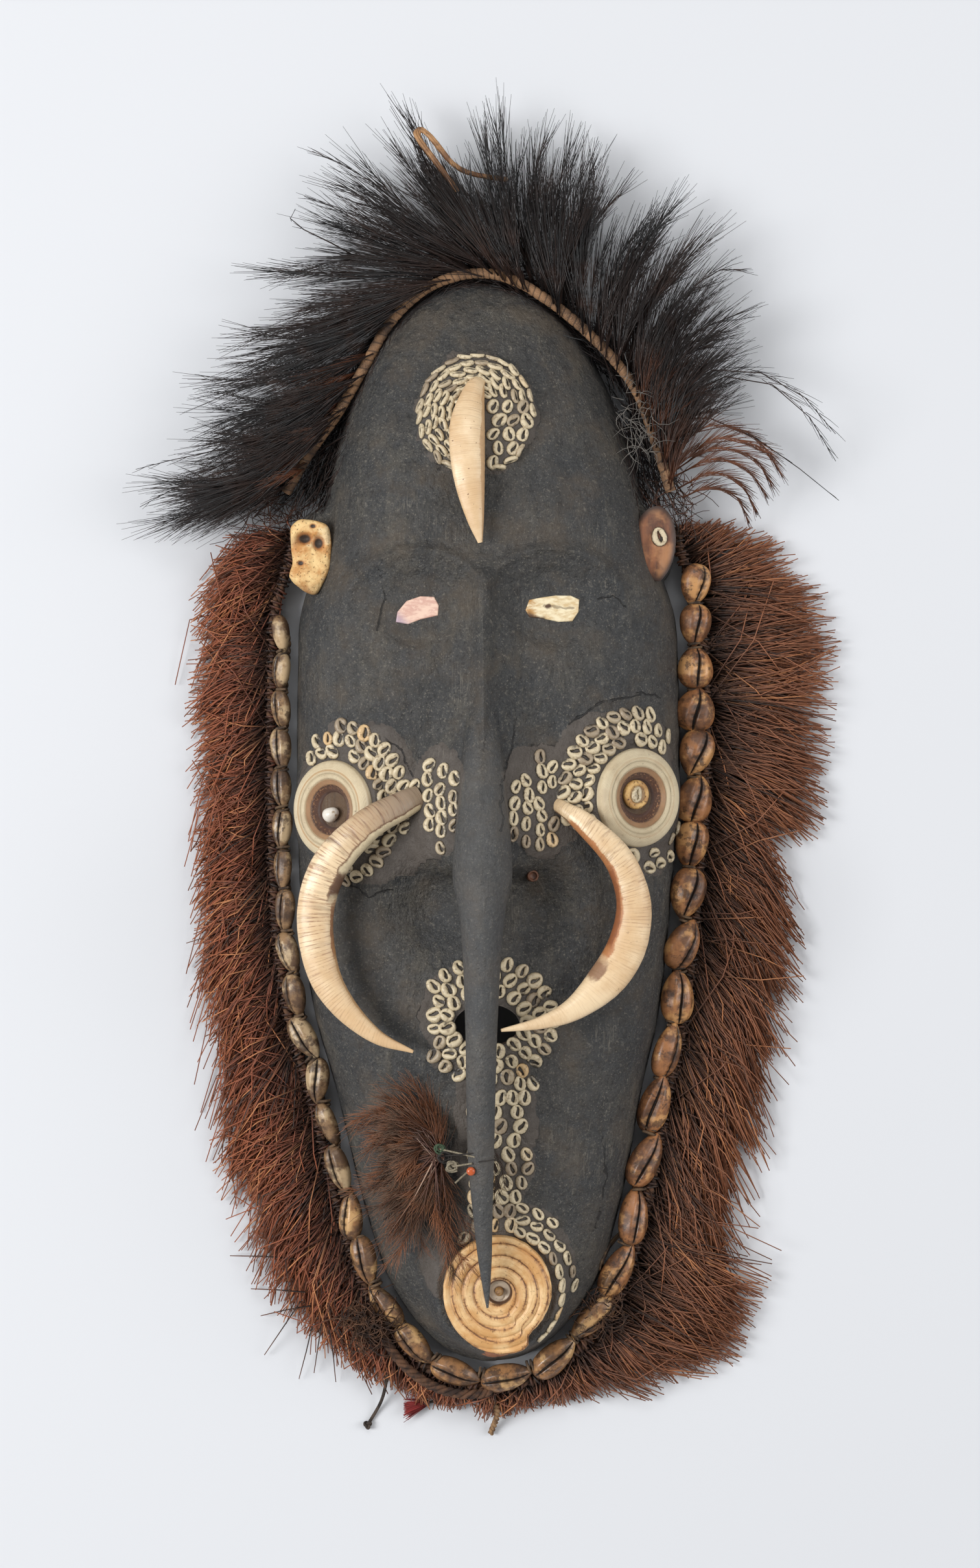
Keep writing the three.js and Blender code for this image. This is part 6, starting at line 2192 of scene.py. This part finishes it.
down_shafts, down_barbs, down_tones = [], [], []
TASSEL_FANS = [(70, 268, 36, 50, 0), (190, 284, 22, 66, 3), (80, 270, 26, 36, 5), (90, 262, 12, 20, 8)]
for first, last, count, length, lift in TASSEL_FANS:
    for i in range(count):
        angle = first + (last - first) * (i + tassel_rng.uniform(0.1, 0.9)) / count
        oval = hypot(cos(radians(angle)) * 0.72, sin(radians(angle)) * 1.12)
        root = TIE + Vector((tassel_rng.uniform(-4, 3), tassel_rng.uniform(-4, 4), -2))
        ground = face_height(root.x + 22 * cos(radians(angle)), root.y + 22 * sin(radians(angle)))
        shaft, lines = down_feather(root, radians(angle), length * oval * tassel_rng.uniform(0.85, 1.08),
                                    ground + 2.5 + lift + tassel_rng.uniform(0, 5),
                                    0.9 * (270 - angle) / 180 + tassel_rng.uniform(-0.6, 0.5), 64, 25)
        down_shafts.append(over_clay(shaft, 1.2))
        redness = tassel_rng.uniform(0.1, 1.0)
        for line in lines:
            down_barbs.append(over_clay(line))
            down_tones.append(clamp(redness + tassel_rng.uniform(-0.2, 0.2)))
for i in range(4):
    root = Vector((1, -246 - 3 * i, 97))
    shaft, lines = down_feather(root, radians(-55 - 12 * i), 30 + 5 * i, 86, -0.3, 34, 12)
    down_barbs += [over_clay(line, 0.6, 99) for line in lines]
    down_tones += [tassel_rng.uniform(0.0, 0.35) for _ in lines]
rust_down = down_finish()
tassel = hairs("nose_tassel_down", down_barbs, 0.2, 0.5, rust_down, down_tones)
show(tassel, "tassel_feather", "nose_tassel")
tassel_shafts = hairs("nose_tassel_quills", down_shafts, 0.55, 0.6, quill_finish(),
                      [tassel_rng.random() for _ in down_shafts])
show(tassel_shafts, "tassel_feather")


def thread_finish(name, colour):
    thread = Finish(name, 0.8)
    light = tint(*colour)
    thread.paint(thread.between(thread.noise(900), 0.4, 0.65), light, [0.5 * c for c in light[:3]] + [1])
    return thread.coat()


def wrapping(centre, radius, turns, spread, seed):
    """A tangle of thread wound round a spot."""
    rng = random.Random(seed)
    line = []
    for step in range(turns * 8):
        angle = 2 * pi * step / 8
        line.append(MM * (centre + Vector((radius * cos(angle) + rng.uniform(-spread, spread),
                                           radius * 0.8 * sin(angle) + rng.uniform(-spread, spread),
                                           rng.uniform(-spread, spread) + 1.2 * sin(angle * 0.37)))))
    return line


def run_between(first, second, sag, points=7):
    return [MM * (first.lerp(second, i / (points - 1)) + Vector((0, 0, -sag * sin(pi * i / (points - 1)))))
            for i in range(points)]


GREEN_KNOT = TIE + Vector((0, 5, 4))
PALE_KNOT = TIE + Vector((8, -6, 6))


def tie(name, colour, thickness, lines):
    threads = strand(name, lines, thickness, thread_finish(name, colour), sides=6)
    show(as_mesh(threads), "tassel_feather")


tie("tassel_green_thread", (66, 84, 60), 0.0010,
    [wrapping(GREEN_KNOT, 3.2, 5, 0.9, 1), wrapping(GREEN_KNOT, 2.2, 4, 1, 2)])
tie("tassel_grey_thread", (136, 126, 106), 0.0013,
    [wrapping(PALE_KNOT, 3.6, 4, 1.0, 3), wrapping(PALE_KNOT, 2.4, 4, 1, 4),
     run_between(GREEN_KNOT, NOSE_HOLE + Vector((-2, 3, 0)), 1.0),
     run_between(PALE_KNOT, NOSE_HOLE + Vector((-4, -1, 0)), 0.5),
     run_between(NOSE_HOLE + Vector((-5, -5, 0)), TIE + Vector((10, -17, 0)), 1.5)])
tie("tassel_dark_thread", (44, 38, 34), 0.0009,
    [wrapping(TIE + Vector((3, 0, 4)), 4.2, 4, 1.1, 5),
     run_between(NOSE_HOLE, NOSE_HOLE + Vector((10.5, 2.2, 5.8)), -1.6),
     run_between(TIE, NOSE_HOLE + Vector((0, 6, 1)), -2)])


def orange_bead_finish():
    glass = Finish("orange_bead", 0.25)
    glass.paint(glass.noise(500, 3), (206, 104, 54), (150, 58, 34))
    return glass.coat()


ORANGE_BEAD = NOSE_HOLE + Vector((-4.6, -6.0, -0.5))


def orange_bead_point(u, v):
    radius = (0.6 + 2.2 * sin(pi * v)) * (0 < v < 1)
    return MM * (ORANGE_BEAD + polar(2 * pi * u, radius, -1.9 * cos(pi * v)))


orange_bead = settled(rolled(20, 14, orange_bead_point), "tassel_orange_bead", orange_bead_finish())
show(orange_bead, "white_bead")


# The small brush of red fibre that sticks out of the fringe at the bottom, tied to a dark twig.
TUFT_ROOT = Vector((-41, -427.5, 5.5))
TUFT_TIP = Vector((-56, -431, 5))
TWIG_END = Vector((-8, -424, 9))


def red_finish():
    red = Finish("red_fibre", 0.8)
    red.paint(red.marks("tone"), (96, 26, 28), (150, 46, 44))
    return red.coat()


tuft_rng = random.Random(2)
red_hairs = []
for _ in range(170):
    away = Vector((0, tuft_rng.gauss(0, 3.4), tuft_rng.gauss(0, 1.7)))
    foot = TUFT_ROOT + 0.22 * away
    tip = TUFT_ROOT.lerp(TUFT_TIP, tuft_rng.uniform(0.75, 1.05)) + away
    tip.z = max(tip.z, 0.9)
    red_hairs.append([MM * foot.lerp(tip, share) for share in (0, 0.5, 1)])
red_tuft = hairs("red_tuft", red_hairs, 0.3, 0.3, red_finish(),
                 [tuft_rng.random() for _ in red_hairs])
show(red_tuft, "red_fibre")
twig_line = [MM * TUFT_ROOT.lerp(TWIG_END, i / 6) + MM * Vector((0, 0.8 * sin(i), 0)) for i in range(7)]
twig = as_mesh(strand("red_tuft_twig", [twig_line], 0.0024, dark_twine, radii=lambda t: 0.7 + 0.3 * t,
                      sides=6))
show(twig, "red_fibre")
binding = [wrapping(TUFT_ROOT, 1.7, 4, 0.3, 8)]
show(as_mesh(strand("red_tuft_binding", binding, 0.0010, dark_twine, sides=6)), "red_fibre")


# The pale surface that the mask lies on, and the soft light over it.
# Two wide lamps stand at its sides, a weaker one overhead, and the room fills the shadows.
FLOOR_HALF = 3.0
floor_bm = bmesh.new()
bmesh.ops.create_grid(floor_bm, x_segments=1, y_segments=1, size=FLOOR_HALF)
bmesh.ops.translate(floor_bm, verts=floor_bm.verts, vec=(0, 0, -0.0005))
paper = Finish("pale_paper", 0.9)
paper.colour = tint(209, 211, 215)
floor = settled(floor_bm, "floor", paper.coat())


def lamp(name, place, size, watts):
    """A soft square lamp that faces the middle of the mask."""
    data = bpy.data.lights.new(name, "AREA")
    data.shape = "RECTANGLE"
    data.size, data.size_y = size
    data.energy = watts
    obj = placed(name, data)
    obj.location = place
    obj.rotation_euler = (Vector((0, 0, 0.05)) - Vector(place)).to_track_quat("-Z", "Y").to_euler()


lamp("left_lamp", (-2.7, -0.1, 2.8), (1.4, 2.1), 132)
lamp("right_lamp", (2.8, 0.2, 2.2), (1.6, 2.6), 52)
lamp("top_lamp", (0, 2.6, 3.2), (1.9, 1.3), 32)
room = bpy.data.worlds.new("room")
room.use_nodes = True
room.node_tree.nodes["Background"].inputs["Color"].default_value = (1, 1, 1, 1)
room.node_tree.nodes["Background"].inputs["Strength"].default_value = 0.34
bpy.context.scene.world = room
bpy.context.scene.view_settings.view_transform = "Standard"
